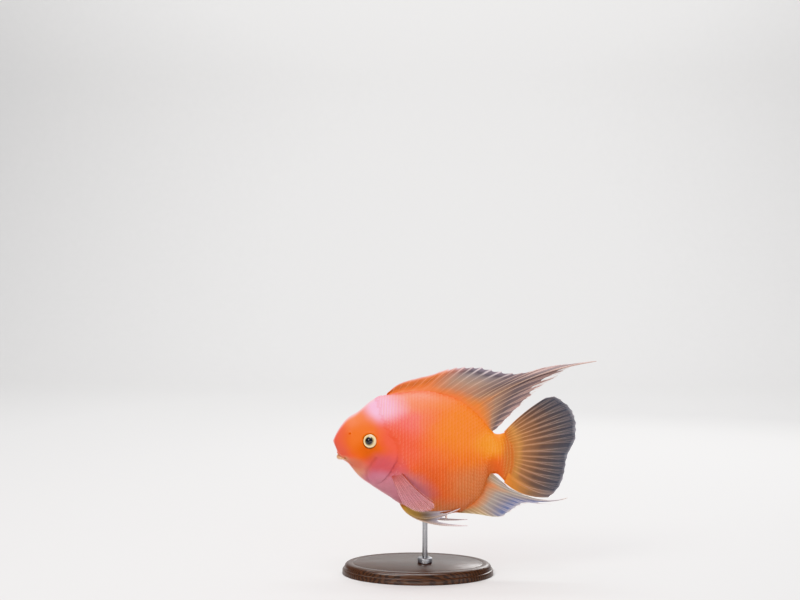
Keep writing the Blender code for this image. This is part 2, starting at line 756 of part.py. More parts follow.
def make_dorsal_fin(finish, parent):
    root = raised(along_profile(TOP, DORSAL_START, DORSAL_END), GAP, 1)
    rays = fin_rays(DORSAL_SPINES, DORSAL_SOFT_RAYS, DORSAL_SOFT_FROM)
    grid = fin_grid(rays, DORSAL_ROWS, root, DORSAL_TIPS, DORSAL_ROOT_HALF, DORSAL_NOTCH, dorsal_sway)
    return add_object("dorsal_fin", mesh_of("dorsal_fin", *grid), finish, parent)


ANAL_START, ANAL_END = 0.1015, 0.1305
ANAL_SPINES, ANAL_SOFT_RAYS, ANAL_SOFT_FROM = 7, 9, 0.52
ANAL_ROWS, ANAL_ROOT_HALF, ANAL_NOTCH = 7, 0.0010, 0.05
ANAL_ARCH_AT = 0.7
ANAL_WAVE, ANAL_WAVES = -0.0016, 5.0
ANAL_TIPS = (
    (0.00, 0.1040, -0.0500, 0.00, 1.00),
    (0.12, 0.1150, -0.0504, 0.00, 1.00),
    (0.24, 0.1262, -0.0518, -0.02, 1.00),
    (0.33, 0.1330, -0.0528, -0.03, 1.00),
    (0.42, 0.1390, -0.0526, -0.04, 1.00),
    (0.51, 0.1462, -0.0494, -0.05, 0.93),
    (0.60, 0.1590, -0.0462, -0.07, 0.73),
    (0.70, 0.1770, -0.0442, -0.09, 0.58),
    (0.76, 0.18500, -0.04158, -0.136, 0.69),
    (0.79, 0.19263, -0.03904, -0.179, 0.81),
    (0.82, 0.19205, -0.03625, -0.203, 1.00),
    (0.85, 0.19131, -0.03587, -0.200, 0.78),
    (0.88, 0.18488, -0.03693, -0.181, 0.60),
    (0.93, 0.16722, -0.03577, -0.134, 0.58),
    (0.97, 0.14859, -0.03078, -0.057, 0.78),
    (1.00, 0.14020, -0.02510, 0.030, 1.00),
)


def anal_sway(u, v):
    return ANAL_WAVE * v * v * np.sin(ANAL_WAVES * u) + trail(u, v, ANAL_TRAIL_AT, ANAL_TRAIL_DRIFT)


def make_anal_fin(finish, parent):
    root = raised(along_profile(BOTTOM, ANAL_START, ANAL_END), GAP, -1)
    rays = fin_rays(ANAL_SPINES, ANAL_SOFT_RAYS, ANAL_SOFT_FROM)
    shape = (root, ANAL_TIPS, ANAL_ROOT_HALF, ANAL_NOTCH, anal_sway)
    grid = fin_grid(rays, ANAL_ROWS, *shape, arch_at=ANAL_ARCH_AT)
    return add_object("anal_fin", mesh_of("anal_fin", *grid), finish, parent)


CAUDAL_RAYS, CAUDAL_ROWS, CAUDAL_ROOT_HALF, CAUDAL_NOTCH = 16, 8, 0.0014, 0.025
CAUDAL_GAP = 1.4 * GAP
# Where each ray starts, as (share of the fin, share of the way round the tail's end)
CAUDAL_ROOTS = (
    (0.00, 0.04),
    (0.16, 0.145),
    (0.35, 0.253),
    (0.53, 0.357),
    (0.70, 0.486),
    (0.78, 0.536),
    (0.86, 0.592),
    (0.93, 0.69),
    (1.00, 0.96),
)
CAUDAL_WAVE, CAUDAL_WAVES, CAUDAL_STILL_AT, CAUDAL_DRIFT = 0.0045, 2.6, 0.35, -0.0030
CAUDAL_TIPS = (
    (0.00, 0.1744, 0.0459, 0.072, 1.00),
    (0.07, 0.1810, 0.0468, 0.062, 1.00),
    (0.16, 0.1876, 0.0432, 0.045, 1.00),
    (0.26, 0.1950, 0.0363, 0.028, 1.00),
    (0.35, 0.1976, 0.0306, 0.015, 1.00),
    (0.44, 0.1992, 0.0236, 0.005, 1.00),
    (0.53, 0.1992, 0.0155, 0.000, 1.00),
    (0.59, 0.1979, 0.0082, 0.000, 1.00),
    (0.63, 0.1945, 0.0026, -0.005, 1.00),
    (0.70, 0.1917, -0.0060, -0.025, 1.00),
    (0.78, 0.1903, -0.0150, -0.060, 1.00),
    (0.86, 0.1880, -0.0238, -0.115, 1.00),
    (0.93, 0.1828, -0.0320, -0.165, 1.00),
    (1.00, 0.1769, -0.0368, -0.212, 1.00),
)


def caudal_root(share):
    """Round end of the tail, from its top to its foot, with the gap kept."""
    angle = math.pi * smooth(CAUDAL_ROOTS, share)
    point = body_point(np.full_like(share, BACK[-1][0]), angle)
    return point[..., [0, 2]] + np.array([CAUDAL_GAP, 0.0])


def caudal_sway(u, v):
    return CAUDAL_WAVE * v**1.5 * np.sin(CAUDAL_WAVES * (u - CAUDAL_STILL_AT)) + CAUDAL_DRIFT * v * v


def make_caudal_fin(finish, parent):
    rays = np.linspace(0, 1, CAUDAL_RAYS)
    shape = (caudal_root, CAUDAL_TIPS, CAUDAL_ROOT_HALF, CAUDAL_NOTCH, caudal_sway)
    grid = fin_grid(rays, CAUDAL_ROWS, *shape)
    return add_object("caudal_fin", mesh_of("caudal_fin", *grid), finish, parent)


PECTORAL_PLACE = (0.0552, -0.0160)
PECTORAL_AHEAD, PECTORAL_ACROSS = (0.66, -0.26, -0.60), (0.50, 0.0, 0.87)
PECTORAL_RAYS, PECTORAL_ROWS, PECTORAL_ROOT_HALF, PECTORAL_NOTCH = 11, 6, 0.0009, 0.03
PECTORAL_BASE, PECTORAL_SUNK = 0.0088, 0.0035
PECTORAL_DRIFT, PECTORAL_WAVE, PECTORAL_WAVES = -0.0010, 0.0012, 3.0
PECTORAL_TIPS = (
    (0.00, 0.0350, 0.0052, -0.11, 1.00),
    (0.20, 0.0392, 0.0016, -0.08, 1.00),
    (0.40, 0.0370, -0.0040, -0.05, 1.00),
    (0.60, 0.0325, -0.0088, -0.04, 1.00),
    (0.80, 0.0265, -0.0120, -0.04, 1.00),
    (1.00, 0.0190, -0.0138, -0.05, 1.00),
)


def pectoral_root(share):
    return np.stack([np.full_like(share, -PECTORAL_SUNK), PECTORAL_BASE * (0.5 - share)], axis=-1)


def pectoral_sway(u, v):
    return PECTORAL_DRIFT * v * v + PECTORAL_WAVE * v * np.sin(PECTORAL_WAVES * u)


def make_pectoral_fin(name, side, finish, parent):
    place = left_flank(*PECTORAL_PLACE)[0]
    rays = np.linspace(0, 1, PECTORAL_RAYS)
    shape = (pectoral_root, PECTORAL_TIPS, PECTORAL_ROOT_HALF, PECTORAL_NOTCH, pectoral_sway)
    frame = frame_of(Vector(place), PECTORAL_AHEAD, PECTORAL_ACROSS)
    return paired_fin(name, side, frame, fin_grid(rays, PECTORAL_ROWS, *shape), finish, parent)


PELVIC_PLACE = (0.0582, -0.0432)
PELVIC_AHEAD, PELVIC_ACROSS = (1.0, -0.04, 0.0), (0.0, 0.28, 1.0)
PELVIC_RAYS, PELVIC_ROWS, PELVIC_ROOT_HALF, PELVIC_NOTCH = 6, 7, 0.0008, 0.08
PELVIC_BASE, PELVIC_SLOPE, PELVIC_SUNK = 0.0060, 0.30, 0.0028
PELVIC_ARCH_AT = 0.22
PELVIC_DRIFT, PELVIC_WAVE, PELVIC_WAVES = -0.0030, 0.0012, 4.0
PELVIC_TIPS = (
    (0.00, 0.0530, -0.0160, -0.28, 1.00),
    (0.20, 0.0464, -0.0024, -0.45, 1.00),
    (0.40, 0.0362, -0.0040, -0.26, 1.00),
    (0.60, 0.0285, -0.0030, -0.14, 1.00),
    (0.80, 0.0205, -0.0012, -0.11, 1.00),
    (1.00, 0.0145, 0.0005, -0.09, 1.00),
)


def pelvic_root(share):
    """The base runs back along the belly, here sunk into it."""
    along = PELVIC_BASE * (share - 0.5)
    return np.stack([along, PELVIC_SUNK + PELVIC_SLOPE * along], axis=-1)


def pelvic_sway(u, v):
    return PELVIC_DRIFT * v * v + PELVIC_WAVE * v * np.sin(PELVIC_WAVES * u)


def make_pelvic_fin(name, side, finish, parent):
    place = left_flank(*PELVIC_PLACE)[0]
    rays = np.linspace(0, 1, PELVIC_RAYS)
    shape = (pelvic_root, PELVIC_TIPS, PELVIC_ROOT_HALF, PELVIC_NOTCH, pelvic_sway)
    frame = frame_of(Vector(place), PELVIC_AHEAD, PELVIC_ACROSS)
    grid = fin_grid(rays, PELVIC_ROWS, *shape, arch_at=PELVIC_ARCH_AT)
    return paired_fin(name, side, frame, grid, finish, parent)


# Stand, with its middle under the fish's weight
STAND_X = 0.0700
BASE_LENGTH, BASE_DEPTH, BASE_HEIGHT = 0.124, 0.080, 0.009
BASE_SIDES = 36
BASE_BEVEL = 0.0012
ROD_X, ROD_RADIUS, ROD_SIDES = 0.0760, 0.0022, 20
COLLAR_RADIUS, COLLAR_HEIGHT = 0.0060, 0.0040


def make_stand(wood, steel, parent):
    """Flat oval base, a collar on it and one rod up to the belly."""
    floor = -AXIS_HEIGHT
    shape = bmesh.new()
    bmesh.ops.create_circle(shape, cap_ends=True, segments=BASE_SIDES, radius=1)
    for v in shape.verts:
        v.co = (v.co.x * BASE_LENGTH / 2, v.co.y * BASE_DEPTH / 2, 0)
    top = bmesh.ops.extrude_face_region(shape, geom=shape.faces[:])
    for v in [g for g in top["geom"] if isinstance(g, bmesh.types.BMVert)]:
        v.co.z += BASE_HEIGHT
    bmesh.ops.recalc_face_normals(shape, faces=shape.faces)
    mesh = bpy.data.meshes.new("stand_base")
    shape.to_mesh(mesh)
    shape.free()
    base = add_object("stand_base", mesh, wood, parent)
    base.location = (STAND_X, 0, floor)
    bevel = base.modifiers.new("edge", "BEVEL")
    bevel.width = BASE_BEVEL
    bevel.segments = 2
    bevel.angle_limit = math.radians(60)
    collar_foot = floor + BASE_HEIGHT + GAP
    upright("stand_collar", COLLAR_RADIUS, collar_foot, COLLAR_HEIGHT, steel, parent)
    rod_foot = collar_foot + COLLAR_HEIGHT + GAP
    rod_top = float(np.interp(ROD_X, *BOTTOM)) - GAP
    upright("stand_rod", ROD_RADIUS, rod_foot, rod_top - rod_foot, steel, parent)


def upright(name, radius, foot, height, finish, parent):
    shape = bmesh.new()
    bmesh.ops.create_cone(
        shape, cap_ends=True, segments=ROD_SIDES, radius1=radius, radius2=radius, depth=height
    )
    mesh = bpy.data.meshes.new(name)
    shape.to_mesh(mesh)
    shape.free()
    made = add_object(name, mesh, finish, parent)
    made.location = (ROD_X, 0, foot + height / 2)
    return made


def main():
    for made in list(bpy.data.objects):
        bpy.data.objects.remove(made)
    fish = bpy.data.objects.new("fish", None)
    bpy.context.scene.collection.objects.link(fish)

    flesh = material("orange_flesh", (0.86, 0.22, 0.08), 0.38)
    cheek = material("pink_gill_cover", (0.72, 0.18, 0.14), 0.36)
    lips = material("pale_lip", (0.74, 0.36, 0.24), 0.42)
    glass_eye = material("pale_yellow_eye", (0.80, 0.62, 0.30), 0.12)
    orange_fin = material("orange_fin", (0.80, 0.36, 0.16), 0.45)
    clear_fin = material("clear_fin", (0.72, 0.50, 0.40), 0.45)
    pale_fin = material("pale_fin", (0.62, 0.56, 0.56), 0.45)
    wood = material("dark_wood", (0.09, 0.045, 0.025), 0.45)
    steel = material("brushed_steel", (0.62, 0.62, 0.62), 0.30, 1.0)

    make_head(flesh, fish)
    make_jaw(lips, fish)
    make_trunk(flesh, fish)
    make_tail_stalk(flesh, fish)
    for word, side in (("left", 1), ("right", -1)):
        make_gill_cover(f"gill_cover_{word}", side, cheek, fish)
        eye_ball(f"eye_{word}", side, EYE_RADIUS, glass_eye, fish)
        make_pectoral_fin(f"pectoral_fin_{word}", side, clear_fin, fish)
        make_pelvic_fin(f"pelvic_fin_{word}", side, orange_fin, fish)
    make_dorsal_fin(orange_fin, fish)
    make_anal_fin(pale_fin, fish)
    make_caudal_fin(clear_fin, fish)
    make_stand(wood, steel, fish)
    for made in bpy.context.scene.objects:
        if made.type == "MESH":
            shade(made)
    fish.location = (-FULL_LENGTH / 2, 0, AXIS_HEIGHT)
    bpy.context.view_layer.update()


main()
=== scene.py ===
"""Looks of a life-size blood parrot cichlid on its display stand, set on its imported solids.

Metres, +Z up. Shapes are drawn in the fish's own frame, as its solids are: x runs back from
the tip of the snout, y is zero at the middle with the left side at -y, and z is measured
from the level of the mouth. placed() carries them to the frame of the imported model.
"""

import math
from dataclasses import dataclass, field
from typing import Callable

import bmesh
import bpy
import numpy as np
from bpy.props import FloatProperty, FloatVectorProperty, IntProperty, PointerProperty
from bpy.types import Operator, Panel, PropertyGroup
from mathutils import Matrix, Vector


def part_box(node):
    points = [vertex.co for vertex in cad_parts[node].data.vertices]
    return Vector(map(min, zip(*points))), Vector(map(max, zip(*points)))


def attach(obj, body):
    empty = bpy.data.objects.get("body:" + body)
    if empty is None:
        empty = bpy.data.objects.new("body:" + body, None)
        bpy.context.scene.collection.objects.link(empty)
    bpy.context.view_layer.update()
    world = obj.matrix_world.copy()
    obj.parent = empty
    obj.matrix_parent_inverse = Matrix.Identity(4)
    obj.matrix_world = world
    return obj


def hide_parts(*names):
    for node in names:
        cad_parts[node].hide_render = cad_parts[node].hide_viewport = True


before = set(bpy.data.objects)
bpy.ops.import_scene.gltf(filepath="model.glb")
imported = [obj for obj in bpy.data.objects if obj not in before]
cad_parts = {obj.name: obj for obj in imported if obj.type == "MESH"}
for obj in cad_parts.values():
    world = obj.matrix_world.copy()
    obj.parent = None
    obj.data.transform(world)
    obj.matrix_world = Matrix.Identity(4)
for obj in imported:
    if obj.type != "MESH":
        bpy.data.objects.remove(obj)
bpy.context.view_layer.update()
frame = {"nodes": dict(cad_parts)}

bl_info = {
    "name": "Blood Parrot Cichlid Model",
    "version": (1, 0, 0),
    "blender": (4, 5, 0),
    "location": "View3D > Sidebar > Cichlid",
    "description": "Skin, scales, eyes, fins and stand of a life-size cichlid model",
    "category": "Object",
}

# The fish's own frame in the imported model
STAND_X, AXIS_HEIGHT = 0.0700, 0.100
BASE_LOW, BASE_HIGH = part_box("stand_base")
ORIGIN = np.array([(BASE_LOW[0] + BASE_HIGH[0]) / 2 - STAND_X, 0.0, BASE_LOW[2] + AXIS_HEIGHT])

FAIRING_REACH = 0.0022
PROFILE_SAMPLES = 900
BACK = (
    (0.0000, 0.0089), (0.0012, 0.0120), (0.0035, 0.0166), (0.0088, 0.0242), (0.0134, 0.0288),
    (0.0200, 0.0326), (0.0256, 0.0372), (0.0317, 0.0423), (0.0378, 0.0454), (0.0436, 0.0466),
    (0.0560, 0.0490), (0.0730, 0.0503), (0.0959, 0.0460), (0.1111, 0.0378), (0.1218, 0.0280),
    (0.1280, 0.0202), (0.1325, 0.0160), (0.1360, 0.0153), (0.1417, 0.0170),
)
BELLY = (
    (0.0000, 0.0089), (0.0013, 0.0055), (0.0028, 0.0022), (0.0042, -0.0006), (0.0050, -0.0034),
    (0.0064, -0.0060), (0.0092, -0.0077), (0.0126, -0.0096), (0.0160, -0.0140), (0.0229, -0.0215),
    (0.0318, -0.0277), (0.0401, -0.0331), (0.0484, -0.0381), (0.0556, -0.0424), (0.0653, -0.0461),
    (0.0790, -0.0491), (0.0920, -0.0503), (0.1020, -0.0493), (0.1111, -0.0447), (0.1188, -0.0384),
    (0.1238, -0.0300), (0.1270, -0.0212), (0.1300, -0.0172), (0.1340, -0.0171), (0.1370, -0.0195),
    (0.1417, -0.0243),
)
HALF_WIDTH = (
    (0.0000, 0.0000), (0.0014, 0.0044), (0.0040, 0.0068), (0.0100, 0.0096), (0.0200, 0.0130),
    (0.0300, 0.0162), (0.0420, 0.0194), (0.0550, 0.0213), (0.0680, 0.0216), (0.0850, 0.0199),
    (0.1000, 0.0163), (0.1120, 0.0124), (0.1220, 0.0090), (0.1300, 0.0066), (0.1360, 0.0048),
    (0.1417, 0.0026),
)
WIDEST_AT = ((0.0, 0.50), (0.02, 0.47), (0.05, 0.42), (0.10, 0.45), (0.1417, 0.50))
BACK_SHARPNESS = ((0.0, 0.95), (0.02, 1.05), (0.045, 1.20), (0.12, 1.25), (0.1417, 1.0))
BELLY_SHARPNESS = ((0.0, 0.95), (0.05, 0.95), (0.09, 1.05), (0.12, 1.30), (0.1417, 1.0))
TAIL_BULGE, TAIL_BULGE_START = 0.0052, 0.1250
TAIL_END = BACK[-1][0]

# Skin: rings for each metre of outline at each x, and points round a ring
SKIN_RINGS = ((0.0, 4200), (0.016, 3400), (0.030, 2300), (0.058, 1900), (0.075, 1000), (0.1417, 1000))
RING_POINTS = 276
RING_PROBE = 721
SIDE_SHARE = 0.6

# Mouth
MOUTH_CORNER = (0.0112, -0.0052)
MOUTH_FRONT_X = -0.004
UPPER_EDGE_Z, LOWER_EDGE_Z = 0.0040, 0.0018
LIP_BACK, LIP_SINK = 0.0100, 0.35
LIP_STEPS, LIP_SIDES, LIP_FOLD = 121, 24, 0.012

# Eye, nostril and vent
EYE_PLACE, EYE_RADIUS, EYE_STANDS_PROUD = (0.0316, 0.0107), 0.0075, 0.0025
EYE_RIM = math.sqrt(EYE_RADIUS**2 - (EYE_RADIUS - EYE_STANDS_PROUD) ** 2)
NOSTRIL_PLACE, NOSTRIL_RADIUS = (0.0150, 0.0160), 0.0008
VENT_X, VENT_LENGTH, VENT_LEAN, VENT_SUNK, VENT_RADIUS = 0.0925, 0.0046, 0.0012, 0.0020, 0.0014

# Gill cover
GILL_FRONT = (
    (0.00, 0.0440, 0.0150), (0.30, 0.0405, 0.0030), (0.60, 0.0345, -0.0105),
    (0.85, 0.0322, -0.0185), (1.00, 0.0340, -0.0235),
)
GILL_REAR = (
    (0.00, 0.0462, 0.0162), (0.12, 0.0508, 0.0138), (0.30, 0.0543, 0.0070),
    (0.48, 0.0546, -0.0020), (0.62, 0.0517, -0.0085), (0.75, 0.0476, -0.0150),
    (0.88, 0.0428, -0.0212), (1.00, 0.0370, -0.0256),
)
GILL_COLUMNS, GILL_ROWS = 46, 110
GILL_SUNK, GILL_SWELL, GILL_ROLL, GILL_RIPPLE, GILL_THIN = 0.0008, 0.00030, 0.00040, 0.00005, 0.0003

# Creases of the head as (path, depth, half width, weight of the painted shade along it): cheek, jaw corner,
# jaw, throat
CREASES = (
    (((0.0366, -0.0030), (0.0325, -0.0090), (0.0294, -0.0138), (0.0290, -0.0190),
      (0.0312, -0.0240)), 0.00050, 0.0013, 0.22),
    (((0.0108, -0.0052), (0.0135, -0.0078), (0.0168, -0.0098)), 0.00040, 0.0008, 0.20),
    (((0.0168, -0.0130), (0.0235, -0.0165), (0.0300, -0.0235)), 0.00020, 0.0009, 0.10),
    (((0.0240, -0.0190), (0.0330, -0.0262), (0.0440, -0.0305)), 0.00025, 0.0007, 0.15),
)
# Widths and depths of the head's other relief
MOUTH_EDGE, MOUTH_EDGE_SOFTNESS, MOUTH_FADE, MOUTH_END = 0.0006, 0.0005, 0.0012, 0.02
NOSTRIL_RIM_HEIGHT = 0.00022
ORBIT_RIDGE_WIDTH, ORBIT_SIDE_REACH = 0.0011, 0.008
GILL_GROOVE_WIDTH, GILL_GROOVE_DEPTH = 0.0016, 0.0003
# Soft swellings as (x, z, radius, height)
SWELLINGS = (
    (0.0290, -0.0110, 0.0085, 0.0006), (0.0180, 0.0210, 0.0080, 0.0003),
    (0.0590, -0.0115, 0.0055, 0.0008), (0.0105, 0.0020, 0.0050, 0.0004),
)


def unit(vectors):
    """Vectors along the last axis, each made one long."""
    return vectors / np.linalg.norm(vectors, axis=-1, keepdims=True)


def running_sum(steps):
    """Sums of the steps so far, from 0 before the first."""
    return np.concatenate([[0], np.cumsum(steps)])


def full_turn(count):
    """Even angles of a full turn."""
    return np.arange(count) * 2 * math.pi / count


def smooth(points, at, column=1):
    """Value at each place on a curve through the points, which never overshoots them."""
    table = np.array(points, float)
    xs, ys = table[:, 0], table[:, column]
    step = np.diff(xs)
    rise = np.diff(ys) / step
    slope = np.concatenate([rise[:1], np.zeros(len(xs) - 2), rise[-1:]])
    before, after = 2 * step[1:] + step[:-1], step[1:] + 2 * step[:-1]
    for i in np.flatnonzero(rise[:-1] * rise[1:] > 0):
        slope[i + 1] = (before[i] + after[i]) / (before[i] / rise[i] + after[i] / rise[i + 1])
    at = np.clip(at, xs[0], xs[-1])
    i = np.clip(np.searchsorted(xs, at, side="right") - 1, 0, len(xs) - 2)
    t = (at - xs[i]) / step[i]
    held = ys[i] * (1 + 2 * t) * (1 - t) ** 2 + ys[i + 1] * t * t * (3 - 2 * t)
    turned = slope[i] * t * (1 - t) ** 2 + slope[i + 1] * t * t * (t - 1)
    return held + step[i] * turned


def faired(points):
    """The curve through the points with its small kinks averaged away, as (places, values)."""
    xs = np.linspace(points[0][0], points[-1][0], PROFILE_SAMPLES)
    ys = smooth(points, xs)
    area = running_sum((ys[1:] + ys[:-1]) / 2 * np.diff(xs))
    reach = np.minimum(FAIRING_REACH, np.minimum(xs - xs[0], xs[-1] - xs))
    wide = reach > xs[1] - xs[0]
    spans = np.interp(xs + reach, xs, area) - np.interp(xs - reach, xs, area)
    ys[wide] = spans[wide] / (2 * reach[wide])
    return xs, ys


TOP, BOTTOM, HALF = faired(BACK), faired(BELLY), faired(HALF_WIDTH)


def section(x):
    """Top, bottom, widest level and half width of the body at x."""
    top, bottom, half = (np.interp(x, *line) for line in (TOP, BOTTOM, HALF))
    return top, bottom, bottom + smooth(WIDEST_AT, x) * (top - bottom), half


def body_point(x, angle):
    """Point of the body at station x: the angle is 0 at the back, pi at the belly, left first."""
    top, bottom, level, half = section(x)
    up, side = np.cos(angle), np.sin(angle)
    height = np.where(up > 0, top - level, level - bottom)
    sharp = np.where(up > 0, smooth(BACK_SHARPNESS, x), smooth(BELLY_SHARPNESS, x))
    y = -np.sign(side) * half * np.abs(side) ** sharp
    share = np.clip((x - TAIL_BULGE_START) / (TAIL_END - TAIL_BULGE_START), 0, 1)
    return np.stack([x + TAIL_BULGE * share**2 * side**2, y, level + height * up], axis=-1)


def half_width_at(x, z):
    """Half of the body's width at station x and level z."""
    top, bottom, level, half = section(x)
    height = np.where(z > level, top - level, level - bottom)
    up = np.clip((z - level) / np.maximum(height, 1e-9), -1, 1)
    sharp = np.where(z > level, smooth(BACK_SHARPNESS, x), smooth(BELLY_SHARPNESS, x))
    return half * (1 - up * up) ** (sharp / 2)


def left_flank(x, z, lift=0.0):
    """Point over the left side of the body, lift away from it, and the normal there."""
    x, z = np.asarray(x, float), np.asarray(z, float)
    probe = 0.0005
    along = (half_width_at(x + probe, z) - half_width_at(x - probe, z)) / (2 * probe)
    upward = (half_width_at(x, z + probe) - half_width_at(x, z - probe)) / (2 * probe)
    normal = unit(np.stack([-along, -np.ones_like(along), -upward], axis=-1))
    place = np.stack([x, -half_width_at(x, z), z], axis=-1)
    return place + normal * np.asarray(lift)[..., None], normal


def along_profile(line, start, end):
    """Function from a share of the arc between two x of a profile to its (x, z) points."""
    xs = np.linspace(start, end, PROFILE_SAMPLES)
    zs = np.interp(xs, *line)
    arc = running_sum(np.hypot(np.diff(xs), np.diff(zs)))
    return lambda share: np.stack(
        [np.interp(share * arc[-1], arc, xs), np.interp(share * arc[-1], arc, zs)], axis=-1
    )


def step(value):
    """Soft step from 0 to 1 as the value goes from 0 to 1."""
    t = np.clip(value, 0, 1)
    return t * t * (3 - 2 * t)


def bell(value):
    return np.exp(-(value**2))


def placed(points):
    """Points of the fish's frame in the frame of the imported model."""
    return np.asarray(points) + ORIGIN


def mirrored(points):
    return np.asarray(points) * (1, -1, 1)


FLANKS = (("left", np.asarray), ("right", mirrored))


def linear(red, green, blue):
    """A display colour of 0 to 255 as the linear colour that the shaders take."""
    shares = np.array([red, green, blue]) / 255
    low, high = shares / 12.92, ((shares + 0.055) / 1.055) ** 2.4
    return tuple(float(v) for v in np.where(shares <= 0.04045, low, high))


# Property groups


def length(name, description, default):
    """A size in metres that a user may change."""
    return FloatProperty(
        name=name, description=description, default=default, min=0.0, precision=5,
        unit="LENGTH", subtype="DISTANCE",
    )


def share(name, description, default):
    return FloatProperty(
        name=name, description=description, default=default, min=0.0, max=1.0, subtype="FACTOR"
    )


def colour(name, description, display):
    return FloatVectorProperty(
        name=name, description=description, default=linear(*display), min=0.0, max=1.0,
        size=3, subtype="COLOR",
    )


class CichlidColours(PropertyGroup):
    flank: colour("Flank", "Salmon orange of the sides", (243, 96, 54))
    ridge: colour("Ridge", "Orange along the foot of the dorsal fin", (252, 138, 88))
    rear_back: colour("Rear back", "Golden orange behind the dorsal fin's middle", (254, 138, 26))
    # The lower side before the tail is the skin's own ochre, lightened further as painted light that fills
    # its shade from below.
    rear_low: colour("Rear low", "Ochre of the lower side before the tail", (214, 126, 76))
    tail_root: colour("Tail root", "Bright yellow orange of the tail stalk", (255, 160, 34))
    tail_end: colour("Tail end", "Ochre where the tail fin starts", (204, 122, 60))
    low_flank: colour("Low flank", "Deeper orange of the lower sides", (220, 94, 44))
    rear_flank: colour("Rear flank", "Ochre orange before the tail", (229, 106, 46))
    # The nape's pale pink is partly the skin's own pink and partly a painted sheen of the light from above.
    nape: colour("Nape", "Pink sheen behind the forehead", (255, 192, 220))
    shoulder: colour("Shoulder", "Pink salmon over the shoulder", (254, 117, 110))
    behind_eye: colour("Behind the eye", "Red salmon of the temple", (238, 96, 66))
    brow: colour("Brow", "Strong orange before and over the eye", (238, 112, 2))
    forehead: colour("Forehead", "Light orange of the forehead", (255, 134, 66))
    snout: colour("Snout", "Salmon tip of the snout", (219, 97, 76))
    # The snout's pale pink rim is a painted highlight of light grazing its front.
    snout_rim_highlight: colour("Snout rim", "Pale pink of the foremost skin", (250, 158, 140))
    under_eye: colour("Under the eye", "Deep orange under the eye", (216, 94, 14))
    gill: colour("Gill cover", "Rose pink of the gill cover", (202, 90, 94))
    gill_low: colour("Gill cover foot", "Mauve pink low on the gill cover", (198, 118, 136))
    chin: colour("Chin", "Pale ochre of the chin", (208, 158, 118))
    cheek: colour("Cheek", "Dull orange below and before the eye", (204, 112, 88))
    throat: colour("Throat", "Beige orange of the throat", (216, 152, 118))
    chest: colour("Chest", "Mauve pink of the chest", (196, 128, 140))
    belly: colour("Belly", "Rose of the belly", (206, 130, 92))
    lip: colour("Lips", "Beige of the lips", (212, 164, 122))


class CichlidBody(PropertyGroup):
    coat_depth: length("Coat depth", "How far the skin lies under the solids, for the scales", 0.0003)
    mouth_depth: length("Mouth depth", "Depth of the opening between the lips", 0.0022)
    upper_lip: length("Upper lip", "Half the thickness of the upper lip at the front", 0.0010)
    lower_lip: length("Lower lip", "Half the thickness of the lower lip at the front", 0.0023)
    lip_end: length("Lip end", "Half the thickness of a lip at its corner", 0.0008)
    orbit_height: length("Orbit height", "How far the ring of skin stands out round the eye", 0.00035)
    socket_depth: length("Socket depth", "How far the skin dips under the eyeball", 0.0024)
    nostril_depth: length("Nostril depth", "Depth of each nostril", 0.0011)
    gill_rise: length("Gill cover rise", "How far the gill cover's rear edge stands out", 0.0005)
    gill_edge: length("Gill cover edge", "Thickness of the gill cover's rear edge", 0.0009)


class CichlidScales(PropertyGroup):
    pitch: length("Row spacing", "Distance between upright rows of scales on the flank", 0.00255)
    overlap: FloatProperty(
        name="Overlap", description="Length of a scale in row spacings", default=2.15, min=1.0
    )
    height: FloatProperty(
        name="Height", description="Distance between neighbours of a row, in row spacings",
        default=1.32, min=0.5,
    )
    thickness: length("Thickness", "Thickness of a scale", 0.00012)
    tilt: FloatProperty(
        name="Tilt", description="How far each scale leans off the skin",
        default=math.radians(3.2), subtype="ANGLE", unit="ROTATION",
    )
    variation: share("Variation", "How much the scales differ in size", 0.08)
    seed: IntProperty(name="Seed", description="Seed of the scales' small differences", default=7)


class CichlidFins(PropertyGroup):
    membrane: length("Membrane", "Half thickness of the membrane between rays", 0.00013)
    margin: length("Margin", "Half thickness of the membrane at its free edge", 0.00007)
    spine_radius: length("Spine radius", "Half thickness of a spine at its foot", 0.00034)
    trail_radius: length("Trailing ray", "Half thickness of a trailing ray before its tip", 0.00078)
    ray_radius: length("Ray radius", "Half thickness of a soft ray at its foot", 0.00042)
    tip_radius: length("Tip radius", "Half thickness of a ray at its tip", 0.00010)
    pleat: length("Pleat", "How far the membrane sways between rays", 0.00022)
    columns: IntProperty(name="Columns", description="Columns of faces between two rays", default=6)


class CichlidEyes(PropertyGroup):
    pupil: length("Pupil radius", "Half the width of the pupil", 0.0026)
    shift: length("Pupil shift", "How far the pupil sits before the middle", 0.0001)
    lift: length("Pupil lift", "How far the pupil sits over the middle", 0.0005)
    lens_rise: length("Lens rise", "How far the lens bulges", 0.00045)


class CichlidStand(PropertyGroup):
    wood: colour("Wood", "Dark stained wood of the base", (74, 46, 30))
    grain: colour("Grain", "Darker lines of the grain", (38, 22, 14))
    steel: colour("Steel", "Brushed steel of the rod and collar", (186, 186, 188))


class CichlidStage(PropertyGroup):
    lens: FloatProperty(name="Lens", description="Focal length in millimetres", default=54.5, min=1.0)
    distance: length("Distance", "From the camera to the fish's middle", 1.0)
    elevation: FloatProperty(
        name="Elevation", description="Height of the camera over the fish, as an angle",
        default=math.radians(8.0), subtype="ANGLE", unit="ROTATION",
    )


class CichlidSettings(PropertyGroup):
    colours: PointerProperty(type=CichlidColours)
    body: PointerProperty(type=CichlidBody)
    scales: PointerProperty(type=CichlidScales)
    fins: PointerProperty(type=CichlidFins)
    eyes: PointerProperty(type=CichlidEyes)
    stand: PointerProperty(type=CichlidStand)
    stage: PointerProperty(type=CichlidStage)


# Meshes


def add_object(name, mesh, finish=None):
    made = bpy.data.objects.new(name, mesh)
    bpy.context.scene.collection.objects.link(made)
    if finish:
        mesh.materials.append(finish)
    return made


